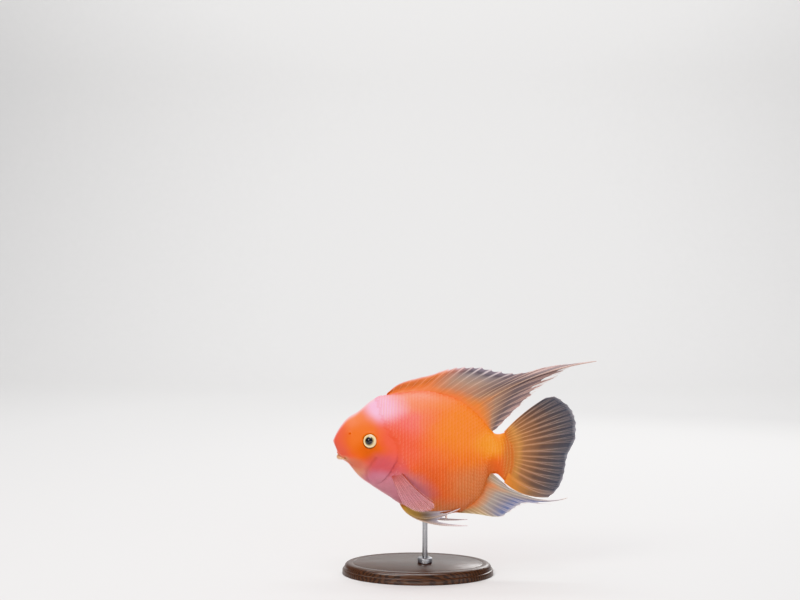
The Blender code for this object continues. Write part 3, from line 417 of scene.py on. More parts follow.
def mesh_of(name, points, faces, sharp=math.radians(60)):
    """A smooth mesh of these points and faces, turned outwards, with edges over an angle sharp."""
    mesh = bpy.data.meshes.new(name)
    mesh.from_pydata(np.asarray(points).tolist(), [], [list(map(int, f)) for f in faces])
    shape = bmesh.new()
    shape.from_mesh(mesh)
    bmesh.ops.recalc_face_normals(shape, faces=shape.faces)
    if shape.calc_volume(signed=True) < 0:
        bmesh.ops.reverse_faces(shape, faces=shape.faces)
    shape.to_mesh(mesh)
    shape.free()
    mesh.shade_smooth()
    mesh.set_sharp_from_angle(angle=sharp)
    return mesh


def note(mesh, name, values, kind="FLOAT", key="value"):
    """Stores a value for each point of the mesh under a name that materials and trees read."""
    layer = mesh.attributes.new(name, kind, "POINT")
    layer.data.foreach_set(key, np.asarray(values, np.float32).ravel())


def closed_rings(name, rings, ends, put=placed, sharp=math.radians(60)):
    """A mesh of rings of as many points each, closed by a fan to a point at either end."""
    flat = np.concatenate(rings)
    count, total = len(rings[0]), len(flat)
    faces = []
    for i in range(0, total - count, count):
        for j in range(count):
            k = (j + 1) % count
            faces.append((i + j, i + k, i + count + k, i + count + j))
    for j in range(count):
        k = (j + 1) % count
        faces += [(total, k, j), (total + 1, total - count + j, total - count + k)]
    return mesh_of(name, put(np.vstack([flat, ends])), faces, sharp)


def rim_of(columns, rows):
    """Points round the edge of a grid, in order."""
    rim = [i * rows for i in range(columns)]
    rim += [(columns - 1) * rows + j for j in range(1, rows)]
    rim += [i * rows + rows - 1 for i in range(columns - 2, -1, -1)]
    return rim + list(range(rows - 2, 0, -1))


def sheet_faces(columns, rows):
    """Quads of a closed sheet with two faces alike, and of the walls round it."""
    total = columns * rows
    faces = []
    for i in range(columns - 1):
        for j in range(rows - 1):
            a, b = i * rows + j, (i + 1) * rows + j
            faces.append((a, b, b + 1, a + 1))
            faces.append((a + 1 + total, b + 1 + total, b + total, a + total))
    rim = rim_of(columns, rows)
    for here, there in zip(rim, rim[1:] + rim[:1]):
        faces.append((there, here, here + total, there + total))
    return faces


def finish_piece(made, slot, *nodes):
    """Sets the piece on the model's one body, in place of the solids it stands for."""
    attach(made, "root")
    if nodes:
        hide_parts(*nodes)


def baked(made):
    """Turns what the object's modifiers make into its plain mesh."""
    bpy.context.view_layer.update()
    graph = bpy.context.evaluated_depsgraph_get()
    result = bpy.data.meshes.new_from_object(
        made.evaluated_get(graph), preserve_all_data_layers=True, depsgraph=graph
    )
    made.modifiers.clear()
    made.data = result
    return made


# Node trees

# Sockets of a Mix node that mixes colours
MIX_FACTOR, MIX_FIRST, MIX_SECOND, MIX_RESULT = 0, 6, 7, 2


class Nodes:
    """Short calls that add nodes to one shader or geometry tree and link them."""

    def __init__(self, tree):
        self.tree = tree

    def feed(self, socket, value):
        if isinstance(value, bpy.types.NodeSocket):
            self.tree.links.new(value, socket)
        elif value is not None:
            socket.default_value = value

    def add(self, kind, values=(), **settings):
        """A node with these settings, and the values or links of its first sockets."""
        made = self.tree.nodes.new(kind)
        for name, value in settings.items():
            setattr(made, name, value)
        if isinstance(values, dict):
            for name, value in values.items():
                self.feed(made.inputs[name], value)
        else:
            for socket, value in zip(made.inputs, values):
                self.feed(socket, value)
        return made

    def math(self, operation, *values):
        return self.add("ShaderNodeMath", values, operation=operation).outputs[0]

    def vector(self, operation, *values):
        made = self.add("ShaderNodeVectorMath", values, operation=operation)
        return made.outputs["Value" if operation in ("LENGTH", "DOT_PRODUCT") else "Vector"]

    def ramp(self, value, low, high, to_low=0.0, to_high=1.0):
        """Soft step of the value from low to high."""
        made = self.add("ShaderNodeMapRange", interpolation_type="SMOOTHSTEP")
        for name, given in (
            ("Value", value), ("From Min", low), ("From Max", high),
            ("To Min", to_low), ("To Max", to_high),
        ):
            self.feed(made.inputs[name], given)
        return made.outputs["Result"]

    def mix(self, factor, first, second, blend="MIX"):
        made = self.tree.nodes.new("ShaderNodeMix")
        made.data_type, made.blend_type, made.clamp_factor = "RGBA", blend, True
        self.feed(made.inputs[MIX_FACTOR], factor)
        self.feed(made.inputs[MIX_FIRST], tinted(first))
        self.feed(made.inputs[MIX_SECOND], tinted(second))
        return made.outputs[MIX_RESULT]

    def noise(self, position, scale, detail=3.0, roughness=0.5):
        made = self.add("ShaderNodeTexNoise", {
            "Vector": position, "Scale": scale, "Detail": detail, "Roughness": roughness,
        })
        return made.outputs["Fac"]

    def attribute(self, name, output="Fac"):
        made = self.tree.nodes.new("ShaderNodeAttribute")
        made.attribute_name = name
        return made.outputs[output]

    def object_place(self):
        return self.tree.nodes.new("ShaderNodeTexCoord").outputs["Object"]

    def colours_along(self, value, stops):
        """Colour ramp with named places: stops are (place, colour)."""
        made = self.tree.nodes.new("ShaderNodeValToRGB")
        ramp = made.color_ramp
        while len(ramp.elements) < len(stops):
            ramp.elements.new(0.5)
        for element, (place, shade) in zip(ramp.elements, stops):
            element.position = place
            element.color = (*shade[:3], 1.0)
        self.feed(made.inputs[0], value)
        return made.outputs[0]


def tinted(value):
    """A three-part colour with its alpha, or a socket as it is."""
    if isinstance(value, bpy.types.NodeSocket) or len(value) == 4:
        return value
    return (*value, 1.0)


def settings():
    return bpy.context.scene.cichlid


def new_group(name, inputs, outputs):
    """A shader node group with its sockets, and the output sockets of its inputs by name."""
    tree = bpy.data.node_groups.new(name, "ShaderNodeTree")
    for label, kind, default in inputs:
        socket = tree.interface.new_socket(name=label, in_out="INPUT", socket_type=kind)
        if default is not None:
            socket.default_value = default
    for label, kind in outputs:
        tree.interface.new_socket(name=label, in_out="OUTPUT", socket_type=kind)
    nodes = Nodes(tree)
    given = tree.nodes.new("NodeGroupInput").outputs
    out = tree.nodes.new("NodeGroupOutput").inputs
    return nodes, given, out


FLOAT, COLOUR, VECTOR = "NodeSocketFloat", "NodeSocketColor", "NodeSocketVector"
SHAPE, MATERIAL = "NodeSocketGeometry", "NodeSocketMaterial"


def shape_group(name, inputs):
    """A Geometry Nodes group with its sockets, and the identifiers of its inputs by name."""
    tree = bpy.data.node_groups.new(name, "GeometryNodeTree")
    keys = {}
    for label, kind in (("Geometry", SHAPE), *inputs):
        socket = tree.interface.new_socket(name=label, in_out="INPUT", socket_type=kind)
        keys[label] = socket.identifier
    tree.interface.new_socket(name="Geometry", in_out="OUTPUT", socket_type=SHAPE)
    given = tree.nodes.new("NodeGroupInput").outputs
    out = tree.nodes.new("NodeGroupOutput").inputs
    return Nodes(tree), given, out, keys


def built_by(made, tree, keys, values):
    """Turns the object into the mesh that the node group makes of it with these values."""
    modifier = made.modifiers.new(tree.name, "NODES")
    modifier.node_group = tree
    for label, value in values.items():
        modifier[keys[label]] = value
    baked(made)
    bpy.data.node_groups.remove(tree)

# Where each body colour lies, as (colour, x, z, reach along, reach up, softness), laid in order
ZONES = (
    ("low_flank", 0.088, -0.026, 0.040, 0.022, 0.55),
    ("rear_flank", 0.120, -0.010, 0.028, 0.034, 0.60),
    # Rear low: own ochre, lightened with painted fill light from below
    ("rear_low", 0.117, -0.026, 0.020, 0.018, 0.60),
    ("shoulder", 0.060, 0.030, 0.032, 0.015, 0.60),
    ("ridge", 0.092, 0.044, 0.052, 0.010, 0.55),
    ("rear_back", 0.112, 0.022, 0.034, 0.026, 0.60),
    ("tail_root", 0.134, 0.008, 0.015, 0.010, 0.60),
    ("tail_end", 0.1475, -0.002, 0.0085, 0.034, 0.50),
    # Nape: pink skin with a painted sheen of the light from above
    ("nape", 0.039, 0.038, 0.018, 0.011, 0.55),
    ("behind_eye", 0.050, 0.008, 0.018, 0.016, 0.60),
    ("forehead", 0.018, 0.026, 0.014, 0.012, 0.50),
    ("snout", 0.006, 0.008, 0.013, 0.018, 0.50),
    ("brow", 0.0255, 0.013, 0.014, 0.015, 0.55),
    # Snout rim: a painted highlight along the snout's front
    ("snout_rim_highlight", 0.000, 0.010, 0.0016, 0.022, 0.60),
    ("throat", 0.022, -0.017, 0.015, 0.011, 0.55),
    ("chin", 0.0100, -0.0070, 0.0045, 0.0040, 0.60),
    ("cheek", 0.0195, -0.0090, 0.0085, 0.0050, 0.70),
    ("under_eye", 0.033, 0.002, 0.012, 0.009, 0.60),
    ("gill", 0.044, -0.012, 0.017, 0.013, 0.50),
    ("gill_low", 0.040, -0.022, 0.016, 0.009, 0.55),
    ("chest", 0.056, -0.032, 0.024, 0.016, 0.50),
    ("belly", 0.088, -0.048, 0.034, 0.010, 0.60),
)


def markings_group():
    """Colours of the body from head to tail, with a painted sheen on the nape's pink, and masks of that
    painted sheen and of the chest.
    """
    nodes, given, out = new_group(
        "body_markings",
        [("Position", VECTOR, None), ("Mottling", FLOAT, 0.06)],
        [("Colour", COLOUR), ("Sheen", FLOAT), ("Smoothness", FLOAT)],
    )
    shades = settings().colours
    place = given["Position"]
    wander = nodes.noise(place, 70.0, 2.0)
    mixed = tuple(shades.flank)
    masks = {}
    for name, x, z, along, up, soft in ZONES:
        centre = placed((x, 0.0, z))
        offset = nodes.vector("SUBTRACT", place, tuple(centre))
        reach = nodes.vector("LENGTH", nodes.vector("MULTIPLY", offset, (1 / along, 0.0, 1 / up)))
        uneven = nodes.math("MULTIPLY_ADD", wander, 0.5, nodes.math("SUBTRACT", reach, 0.25))
        mask = nodes.ramp(uneven, 1 + soft, 1 - soft)
        mixed = nodes.mix(mask, mixed, tuple(getattr(shades, name)))
        masks[name] = mask
    speckle = nodes.noise(place, 900.0, 4.0, 0.6)
    patches = nodes.noise(place, 160.0, 3.0)
    dark = nodes.math("MULTIPLY_ADD", nodes.math("SUBTRACT", speckle, 0.5), given["Mottling"], 1.0)
    dark = nodes.math("MULTIPLY_ADD", nodes.math("SUBTRACT", patches, 0.5), given["Mottling"], dark)
    bright = nodes.add("ShaderNodeHueSaturation", {"Value": dark, "Color": mixed})
    nodes.feed(out["Colour"], bright.outputs[0])
    nodes.feed(out["Sheen"], masks["nape"])
    nodes.feed(out["Smoothness"], masks["chest"])
    return nodes.tree


def skin_grain_group():
    """Fine grain and pores of wet skin, as a height and a roughness that wander."""
    nodes, given, out = new_group(
        "skin_grain",
        [("Position", VECTOR, None), ("Pore Scale", FLOAT, 1500.0), ("Roughness", FLOAT, 0.4)],
        [("Height", FLOAT), ("Roughness", FLOAT)],
    )
    fine = nodes.noise(given["Position"], given["Pore Scale"], 3.0)
    broad = nodes.noise(given["Position"], 260.0, 2.0)
    cells = nodes.add("ShaderNodeTexVoronoi", {"Vector": given["Position"], "Scale": 640.0})
    pores = nodes.ramp(cells.outputs["Distance"], 0.0, 0.35)
    height = nodes.math("MULTIPLY_ADD", pores, 0.35, nodes.math("MULTIPLY", fine, 0.5))
    nodes.feed(out["Height"], nodes.math("MULTIPLY_ADD", broad, 0.6, height))
    nodes.feed(out["Roughness"], nodes.math("MULTIPLY_ADD", broad, 0.16, given["Roughness"]))
    return nodes.tree


def new_material(name, **values):
    """A Principled material with fixed values on its own sockets, and its nodes."""
    made = bpy.data.materials.new(name)
    made.use_nodes = True
    shader = made.node_tree.nodes["Principled BSDF"]
    for label, value in values.items():
        shader.inputs[label.replace("_", " ")].default_value = value
    return made, Nodes(made.node_tree), shader.inputs


def use_group(nodes, tree, **values):
    placed_group = nodes.tree.nodes.new("ShaderNodeGroup")
    placed_group.node_tree = tree
    for label, value in values.items():
        nodes.feed(placed_group.inputs[label.replace("_", " ")], value)
    return placed_group.outputs


def surface(nodes, sockets, shade, rough, height=None, distance=0.0):
    """Feeds a material its colour and roughness, and a bump where a height is given."""
    nodes.feed(sockets["Base Color"], shade)
    nodes.feed(sockets["Roughness"], rough)
    if height is not None:
        bump = nodes.add("ShaderNodeBump", {"Height": height, "Distance": distance, "Strength": 1.0})
        nodes.feed(sockets["Normal"], bump.outputs[0])


def body_looks(nodes, roughness):
    """The body's markings and the grain of its skin, from groups built when first asked for."""
    place, groups = nodes.object_place(), bpy.data.node_groups
    marks = use_group(nodes, groups.get("body_markings") or markings_group(), Position=place)
    grain = use_group(
        nodes, groups.get("skin_grain") or skin_grain_group(), Position=place, Roughness=roughness
    )
    return marks, grain


def flesh_material(name="flesh_skin", roughness=0.36):
    """Satin skin in the body's markings, with a painted highlight along the head's ridge and keel and painted
    shade in its creases and hollows.
    """
    made, nodes, sockets = new_material(
        name, Coat_Weight=0.12, Coat_Roughness=0.3, Specular_IOR_Level=0.22,
    )
    marks, grain = body_looks(nodes, roughness)
    # Painted highlight: pale pink along the head's ridge and the keel of throat and chest, where light grazes
    # the outline.
    rim = nodes.math("MULTIPLY", nodes.attribute("rim"), 0.95)
    rim_highlighted = nodes.mix(rim, marks["Colour"], linear(248, 204, 206))
    # Painted shade: dark brown-red in the creases, the mouth, the nostrils, round the eye and along the gill
    # cover's edge.
    edge = nodes.math("MULTIPLY", nodes.attribute("crease"), 0.7)
    shade = nodes.mix(edge, rim_highlighted, linear(132, 52, 30))
    surface(nodes, sockets, shade, grain["Roughness"], grain["Height"], 0.00012)
    return made


def scale_material():
    """Scales in the body's markings, with painted shade in their pockets and a painted highlight along their
    rims, strongest on the nape.
    """
    made, nodes, sockets = new_material(
        "scales", Coat_Weight=0.16, Coat_Roughness=0.25, Specular_IOR_Level=0.28,
    )
    marks, grain = body_looks(nodes, 0.32)
    along, tint = nodes.attribute("leaf_along"), nodes.attribute("tint")
    # Painted shade in each scale's pocket, behind the rim of the scale before it, fading out on the chest.
    pocket_shade = nodes.ramp(along, 0.80, 0.55)
    rim = nodes.ramp(along, 0.80, 0.97)
    clear = nodes.math("SUBTRACT", 1.0, marks["Smoothness"])
    painted_shade_share = nodes.math("MULTIPLY", nodes.math("MULTIPLY", pocket_shade, 0.24), clear)
    deep = nodes.mix(painted_shade_share, marks["Colour"], linear(206, 70, 26))
    # Painted highlight along each rim, strongest on the nape, none on the chest.
    painted_highlight_share = nodes.math("MULTIPLY_ADD", marks["Sheen"], 0.35, nodes.math("MULTIPLY", clear, 0.15))
    pale = nodes.mix(nodes.math("MULTIPLY", rim, painted_highlight_share), deep, linear(255, 190, 150))
    shade = nodes.add("ShaderNodeHueSaturation", {"Value": tint, "Color": pale})
    rings = nodes.math("SINE", nodes.math("MULTIPLY", along, 90.0))
    height = nodes.math("MULTIPLY_ADD", rings, 0.12, grain["Height"])
    surface(nodes, sockets, shade.outputs[0], grain["Roughness"], height, 0.00005)
    return made


def lip_material():
    """Firm pale skin with fine folds across it, and painted shade where the lips face into the mouth."""
    made, nodes, sockets = new_material(
        "lip_skin", Coat_Weight=0.35, Coat_Roughness=0.25, Specular_IOR_Level=0.5,
    )
    place = nodes.object_place()
    colours, mottled = settings().colours, nodes.noise(place, 700.0, 4.0)
    spots = nodes.ramp(mottled, 0.3, 0.8, 0.0, 0.4)
    shade = nodes.mix(spots, tuple(colours.lip), linear(226, 176, 130))
    shade = nodes.mix(nodes.ramp(nodes.attribute("pale"), 0.1, 0.7), shade, linear(240, 208, 200))
    snout = nodes.math("MULTIPLY", nodes.attribute("snout"), 0.75)
    shade = nodes.mix(snout, shade, tuple(colours.snout))
    # Painted shade where a lip faces into the mouth.
    inside = nodes.ramp(nodes.attribute("inside"), 0.5, 1.0, 0.0, 0.7)
    shade = nodes.mix(inside, shade, linear(176, 96, 70))
    rough = nodes.ramp(mottled, 0.2, 0.8, 0.34, 0.5)
    surface(nodes, sockets, shade, rough, nodes.noise(place, 1600.0, 3.0), 0.0001)
    return made


def eye_material():
    """Dark pupil, grey-gold iris and cream outer ring under a wet gloss, with a painted shadow of the brow
    browning the iris's top.
    """
    made, nodes, sockets = new_material(
        "eye_gloss", Coat_Weight=1.0, Coat_Roughness=0.03, Specular_IOR_Level=0.5, Roughness=0.25,
    )
    polar = nodes.attribute("eye_place", "Vector")
    away = nodes.vector("LENGTH", polar)
    direction = nodes.vector("NORMALIZE", polar)
    streaks = nodes.noise(direction, 9.0, 5.0, 0.7)
    flecks = nodes.noise(polar, 7.0, 4.0, 0.6)
    split = nodes.add("ShaderNodeSeparateXYZ", [polar]).outputs
    wander = nodes.math("MULTIPLY_ADD", nodes.math("SUBTRACT", streaks, 0.5), 0.10, away)
    wander = nodes.math("MULTIPLY_ADD", split["X"], 0.09, wander)
    shade = nodes.colours_along(wander, (
        (0.00, linear(18, 16, 22)), (0.46, linear(30, 26, 34)), (0.51, linear(84, 74, 58)),
        (0.60, linear(140, 124, 88)), (0.70, linear(208, 190, 138)), (0.82, linear(246, 228, 184)),
        (0.94, linear(238, 204, 156)), (1.02, linear(130, 84, 36)),
    ))
    bright = nodes.ramp(flecks, 0.55, 0.8, 0.0, 0.25)
    shade = nodes.mix(bright, shade, linear(250, 240, 210), "SCREEN")
    # Painted shadow: the top of the iris browned where the brow shades it.
    iris_brow_shadow = nodes.ramp(split["Y"], 0.50, 0.95, 0.0, 0.7)
    shade = nodes.mix(iris_brow_shadow, shade, linear(150, 104, 44))
    pupil = nodes.ramp(away, 0.485, 0.455)
    shade = nodes.mix(pupil, shade, linear(16, 15, 22))
    nodes.feed(sockets["Base Color"], shade)
    return made


# Shares of a fin's reach: where its root flare and the grooves between its rays have run out
FLARE_END, RIB_END = 0.24, 0.4
# Shares of the gap between two rays that branches and their twigs spread by
BRANCH_SPREAD, TWIG_SPREAD = 0.22, 0.11
# How far a branch starts inside its stem, and where rays and spines end beyond the margin
BRANCH_LAP, RAY_END, SPINE_END = 0.02, 1.004, 1.012
RAY_SIDES, RAY_JOINTS = 6, 44.0


@dataclass
class Fin:
    """One fin: its outline in its own plane, its rays and its colours."""

    name: str
    slot: str
    root: Callable
    tips: tuple
    sway: Callable
    rays: list
    spines: int
    root_half: float
    notches: tuple
    zones: tuple
    alpha: tuple
    bands: tuple = (0.20, 0.66)
    rows: int = 64
    arch_at: float = 0.5
    frame: Matrix = field(default_factory=Matrix)
    side: int = 1
    ray_share: float = 1.0
    branch_at: tuple = (0.34, 0.64)
    ribbed: float = 0.5
    trailing: tuple = ()


def fin_place(fin, u, v):
    """Points on the fin's middle surface, in its own plane, for shares of root and reach."""
    u, v = np.broadcast_arrays(np.asarray(u, float), np.asarray(v, float))
    start = fin.root(u)
    end = np.stack([smooth(fin.tips, u, 1), smooth(fin.tips, u, 2)], axis=-1)
    chord = end - start
    arch = np.stack([-chord[..., 1], chord[..., 0]], axis=-1) * smooth(fin.tips, u, 3)[..., None]
    middle = start + fin.arch_at * chord + arch
    t = (smooth(fin.tips, u, 4) * v)[..., None]
    flat = (1 - t) ** 2 * start + 2 * t * (1 - t) * middle + t * t * end
    return np.stack([flat[..., 0], fin.sway(u, v), flat[..., 1]], axis=-1)


def in_fish(fin, points):
    """Points of the fin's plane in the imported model's frame."""
    turn = np.array(fin.frame)
    points = points @ turn[:3, :3].T + turn[:3, 3]
    return placed(points * (1, -1, 1) if fin.side < 0 else points)


def near_ray(rays, u):
    """1 on a ray and 0 midway between two, and a count of rays that runs on between them."""
    rays = np.asarray(rays)
    before = np.clip(np.searchsorted(rays, u, side="right") - 1, 0, len(rays) - 2)
    inside = np.clip((u - rays[before]) / (rays[before + 1] - rays[before]), 0, 1)
    return np.abs(2 * inside - 1), before + inside


def pleated(count, v):
    """How far the fin sways to one side between rays, more and more from its root."""
    return settings().fins.pleat * np.sin(math.pi * count) * step(v * 3)


def fin_membrane(fin, finish):
    """The thin skin between the rays, notched and pleated between them, as a closed sheet."""
    sizes = settings().fins
    columns = [
        np.linspace(a, b, sizes.columns, endpoint=False) for a, b in zip(fin.rays, fin.rays[1:])
    ]
    u = np.append(np.concatenate(columns), fin.rays[-1])
    near, count = near_ray(fin.rays, u)
    grid_u, grid_v = np.meshgrid(u, np.linspace(0, 1, fin.rows), indexing="ij")
    between = 1 - near[:, None] ** 2
    notch = np.interp(grid_u, *np.array(fin.notches).T)
    middle = fin_place(fin, grid_u, grid_v * (1 - notch * between * step(grid_v * 1.6 - 0.6)))
    middle[..., 1] += pleated(count[:, None], grid_v)
    base = fin.root_half + (sizes.membrane - fin.root_half) * step(grid_v / FLARE_END)
    base *= 1 - fin.ribbed * between * (1 - step(grid_v / RIB_END))
    half = base + (sizes.margin - sizes.membrane) * grid_v**4
    sides = [middle + np.array([0.0, 1.0, 0.0]) * (way * half)[..., None] for way in (-1, 1)]
    points = np.concatenate([in_fish(fin, s.reshape(-1, 3)) for s in sides])
    mesh = mesh_of(fin.name + "_membrane", points, sheet_faces(len(u), fin.rows))
    root_band, margin_band = fin.bands
    band = 1 - root_band - (margin_band - root_band) * step(grid_v * 1.5)
    for name, values in (
        ("fin_u", grid_u), ("fin_v", grid_v), ("band_edge", band),
        ("near_ray", np.repeat(near, fin.rows)),
    ):
        note(mesh, name, np.tile(values.ravel(), 2))
    made = add_object(fin.name + "_membrane", mesh, finish)
    finish_piece(made, fin.slot, fin.name)


def ray_paths(fin):
    """Every length of every ray as (u at each point, v at each point, radius at each point)."""
    sizes = settings().fins
    first, second = fin.branch_at
    gaps = np.diff(fin.rays)
    paths = []
    for i, ray in enumerate(fin.rays):
        gap = min(gaps[max(i - 1, 0)], gaps[min(i, len(gaps) - 1)])
        root = (sizes.spine_radius if i < fin.spines else sizes.ray_radius) * fin.ray_share
        if i < fin.spines:
            v = np.linspace(0, SPINE_END, 34)
            paths.append((np.full_like(v, ray), v, root + (sizes.tip_radius - root) * v))
            continue
        if i in fin.trailing:
            v, trail = np.linspace(0, RAY_END, 60), sizes.trail_radius
            ends = np.interp(v, (0, 0.35, 0.75, 0.95, 1), (root, root, trail, trail * 0.7, trail * 0.35))
            paths.append((np.full_like(v, ray), v, ends))
            continue
        stem = np.linspace(0, first + BRANCH_LAP, 16)
        paths.append((np.full_like(stem, ray), stem, root * (1 - 0.25 * stem / first)))
        ways = [w for w in (-1, 1) if 0 < i < len(fin.rays) - 1] or [0]
        for way in ways:
            shift = lambda v: way * BRANCH_SPREAD * gap * step((v - first) / (1 - first) * 1.3)
            v = np.linspace(first, second + BRANCH_LAP, 12)
            paths.append((ray + shift(v), v, root * np.interp(v, (first, second), (0.66, 0.50))))
            for turn in (-1, 1):
                v = np.linspace(second, RAY_END, 14)
                at = ray + shift(v) + turn * TWIG_SPREAD * gap * step((v - second) / (1 - second))
                radius = root * np.interp(v, (second, 1), (0.44, 0.28))
                paths.append((np.clip(at, 0, 1), v, np.maximum(radius, sizes.tip_radius)))
    return paths


def rays_tree():
    """Sweeps each line of the rays with its own radius at each point."""
    nodes, given, out, keys = shape_group("fin_ray_sweep", [
        ("Sides", "NodeSocketInt"), ("Thickness", FLOAT), ("Finish", MATERIAL),
    ])
    lines = nodes.add("GeometryNodeMeshToCurve", {"Mesh": given["Geometry"]}).outputs[0]
    radius = nodes.add("GeometryNodeInputNamedAttribute", {"Name": "ray_radius"}, data_type="FLOAT")
    wide = nodes.math("MULTIPLY", radius.outputs["Attribute"], given["Thickness"])
    lines = nodes.add("GeometryNodeSetCurveRadius", {"Curve": lines, "Radius": wide}).outputs[0]
    ring = nodes.add(
        "GeometryNodeCurvePrimitiveCircle", {"Resolution": given["Sides"], "Radius": 1.0}
    ).outputs[0]
    swept = nodes.add(
        "GeometryNodeCurveToMesh", {"Curve": lines, "Profile Curve": ring, "Fill Caps": True}
    )
    if "Scale" in swept.inputs:
        nodes.feed(swept.inputs["Scale"], wide)
    whole = nodes.add("GeometryNodeRealizeInstances", [swept.outputs[0]]).outputs[0]
    whole = nodes.add("GeometryNodeSetShadeSmooth", {"Geometry": whole}).outputs[0]
    whole = nodes.add("GeometryNodeSetMaterial", {"Geometry": whole, "Material": given["Finish"]})
    nodes.feed(out["Geometry"], whole.outputs[0])
    return nodes.tree, keys


def fin_rays_piece(fin, finish):
    """All rays of a fin, swept by the node tree along their lines and made a plain mesh."""
    points, edges, columns = [], [], []
    for u, v, radius in ray_paths(fin):
        spots = fin_place(fin, u, v)
        spots[:, 1] += pleated(near_ray(fin.rays, np.clip(u, 0, 1))[1], v)
        first = len(points)
        points += in_fish(fin, spots).tolist()
        edges += [(first + k, first + k + 1) for k in range(len(u) - 1)]
        columns.append((radius, v, u))
    mesh = bpy.data.meshes.new(fin.name + "_rays")
    mesh.from_pydata(points, edges, [])
    for name, values in zip(("ray_radius", "fin_v", "fin_u"), np.concatenate(columns, axis=1)):
        note(mesh, name, values)
    made = add_object(fin.name + "_rays", mesh)
    built_by(made, *rays_tree(), {"Sides": RAY_SIDES, "Thickness": 1.0, "Finish": finish})
    finish_piece(made, fin.slot, fin.name)


def zoned(nodes, fin, kind, along, across):
    """Colour from root to margin of the fin's bands or gaps, changing along its root."""
    shade = None
    for start, soft, kinds in fin.zones:
        here = nodes.colours_along(along, kinds[kind])
        if shade is None:
            shade = here
        else:
            shade = nodes.mix(nodes.ramp(across, start - soft, start + soft), shade, here)
    return shade


def fin_places(nodes):
    """Shares of root and reach of the fin, the reach made a little uneven, and fine fibres."""
    along, across = nodes.attribute("fin_v"), nodes.attribute("fin_u")
    wander = nodes.math("SUBTRACT", nodes.noise(nodes.object_place(), 130.0, 3.0), 0.5)
    uneven = nodes.math("MULTIPLY_ADD", wander, 0.12, along)
    spot = nodes.add("ShaderNodeCombineXYZ", [
        nodes.math("MULTIPLY", across, 260.0), nodes.math("MULTIPLY", along, 5.0), 0.0,
    ])
    return uneven, across, nodes.noise(spot.outputs[0], 1.0, 4.0, 0.6)


def membrane_material(fin):
    """Thin, slightly see-through skin: ray-coloured over its rays and darker between them."""
    made, nodes, sockets = new_material(
        fin.name + "_membrane", Coat_Weight=0.12, Coat_Roughness=0.3, Specular_IOR_Level=0.4,
    )
    along, across, fibres = fin_places(nodes)
    near, edge = nodes.attribute("near_ray"), nodes.attribute("band_edge")
    frayed = nodes.math("MULTIPLY_ADD", nodes.math("SUBTRACT", fibres, 0.5), 0.35, near)
    band = nodes.ramp(frayed, nodes.math("SUBTRACT", edge, 0.22), nodes.math("ADD", edge, 0.22))
    shade = nodes.mix(band, zoned(nodes, fin, 0, along, across), zoned(nodes, fin, 1, along, across))
    value = nodes.ramp(fibres, 0.25, 0.75, 0.92, 1.07)
    shade = nodes.add("ShaderNodeHueSaturation", {"Value": value, "Color": shade})
    dense, thin = fin.alpha
    nodes.feed(sockets["Alpha"], nodes.ramp(nodes.attribute("fin_v"), 0.15, 0.9, dense, thin))
    rough = nodes.ramp(fibres, 0.2, 0.8, 0.38, 0.58)
    surface(nodes, sockets, shade.outputs[0], rough, fibres, 0.00008)
    return made


def ray_material(fin):
    """Bony rays, jointed across, in the fin's colours and a little paler."""
    made, nodes, sockets = new_material(
        fin.name + "_rays", Coat_Weight=0.15, Coat_Roughness=0.3, Specular_IOR_Level=0.45,
    )
    along, across, fibres = fin_places(nodes)
    pale = nodes.ramp(along, 0.15, 0.7, 0.0, 0.2)
    shade = nodes.mix(pale, zoned(nodes, fin, 1, along, across), linear(255, 230, 214))
    joints = nodes.math("FRACT", nodes.math("MULTIPLY", nodes.attribute("fin_v"), RAY_JOINTS))
    ring = nodes.ramp(nodes.math("ABSOLUTE", nodes.math("SUBTRACT", joints, 0.5)), 0.0, 0.2)
    ring = nodes.math("MAXIMUM", ring, nodes.ramp(along, 0.30, 0.14))
    shade = nodes.mix(nodes.ramp(ring, 0.0, 1.0, 0.25, 0.0), shade, linear(150, 92, 70))
    surface(nodes, sockets, shade, nodes.ramp(fibres, 0.2, 0.8, 0.36, 0.52), ring, 0.00006)
    return made


# Skin


def ring_angles(x):
    """Angles round the section at x, closest where the side is, from the back down the left."""
    probe = np.linspace(0, math.pi, RING_PROBE)
    line = body_point(np.full_like(probe, x), probe)
    run = np.linalg.norm(np.diff(line, axis=0), axis=1)
    middle = (probe[1:] + probe[:-1]) / 2
    weight = run * (1 - SIDE_SHARE + 2 * SIDE_SHARE * np.sin(middle) ** 2)
    arc = running_sum(weight)
    half = np.interp(np.linspace(0, arc[-1], RING_POINTS // 2 + 1), arc, probe)
    return np.concatenate([half, 2 * math.pi - half[-2:0:-1]])


def skin_stations():
    """Places of the rings along the body, close where the outline turns and on the head."""
    xs = np.linspace(0, TAIL_END, 9000)
    lines = np.array(section(xs))
    run = np.hypot(np.diff(xs), np.abs(np.diff(lines, axis=1)).max(axis=0))
    count = running_sum(run * np.interp(xs[1:], *np.array(SKIN_RINGS).T))
    return np.interp(np.linspace(0, count[-1], int(count[-1]) + 1), count, xs)[1:]


def distance_to_path(x, z, path):
    """Distance in the side view from each place to a line of points."""
    nearest = np.full(x.shape, 1.0)
    for (ax, az), (bx, bz) in zip(path, path[1:]):
        dx, dz = bx - ax, bz - az
        t = np.clip(((x - ax) * dx + (z - az) * dz) / (dx * dx + dz * dz), 0, 1)
        nearest = np.minimum(nearest, np.hypot(x - ax - t * dx, z - az - t * dz))
    return nearest


def rounded_path(path, count=60):
    """A line of many points that rounds the corners of a few."""
    path = np.array(path)
    arc = running_sum(np.hypot(*np.diff(path, axis=0).T))
    at = np.linspace(0, arc[-1], count)
    table = np.column_stack([arc, path])
    return np.column_stack([smooth(table, at, 1), smooth(table, at, 2)])


def mouth_z(x, front_z):
    """Level of a mouth edge at x: a straight line from the corner to the front."""
    corner_x, corner_z = MOUTH_CORNER
    return corner_z + (corner_x - x) / (corner_x - MOUTH_FRONT_X) * (front_z - corner_z)


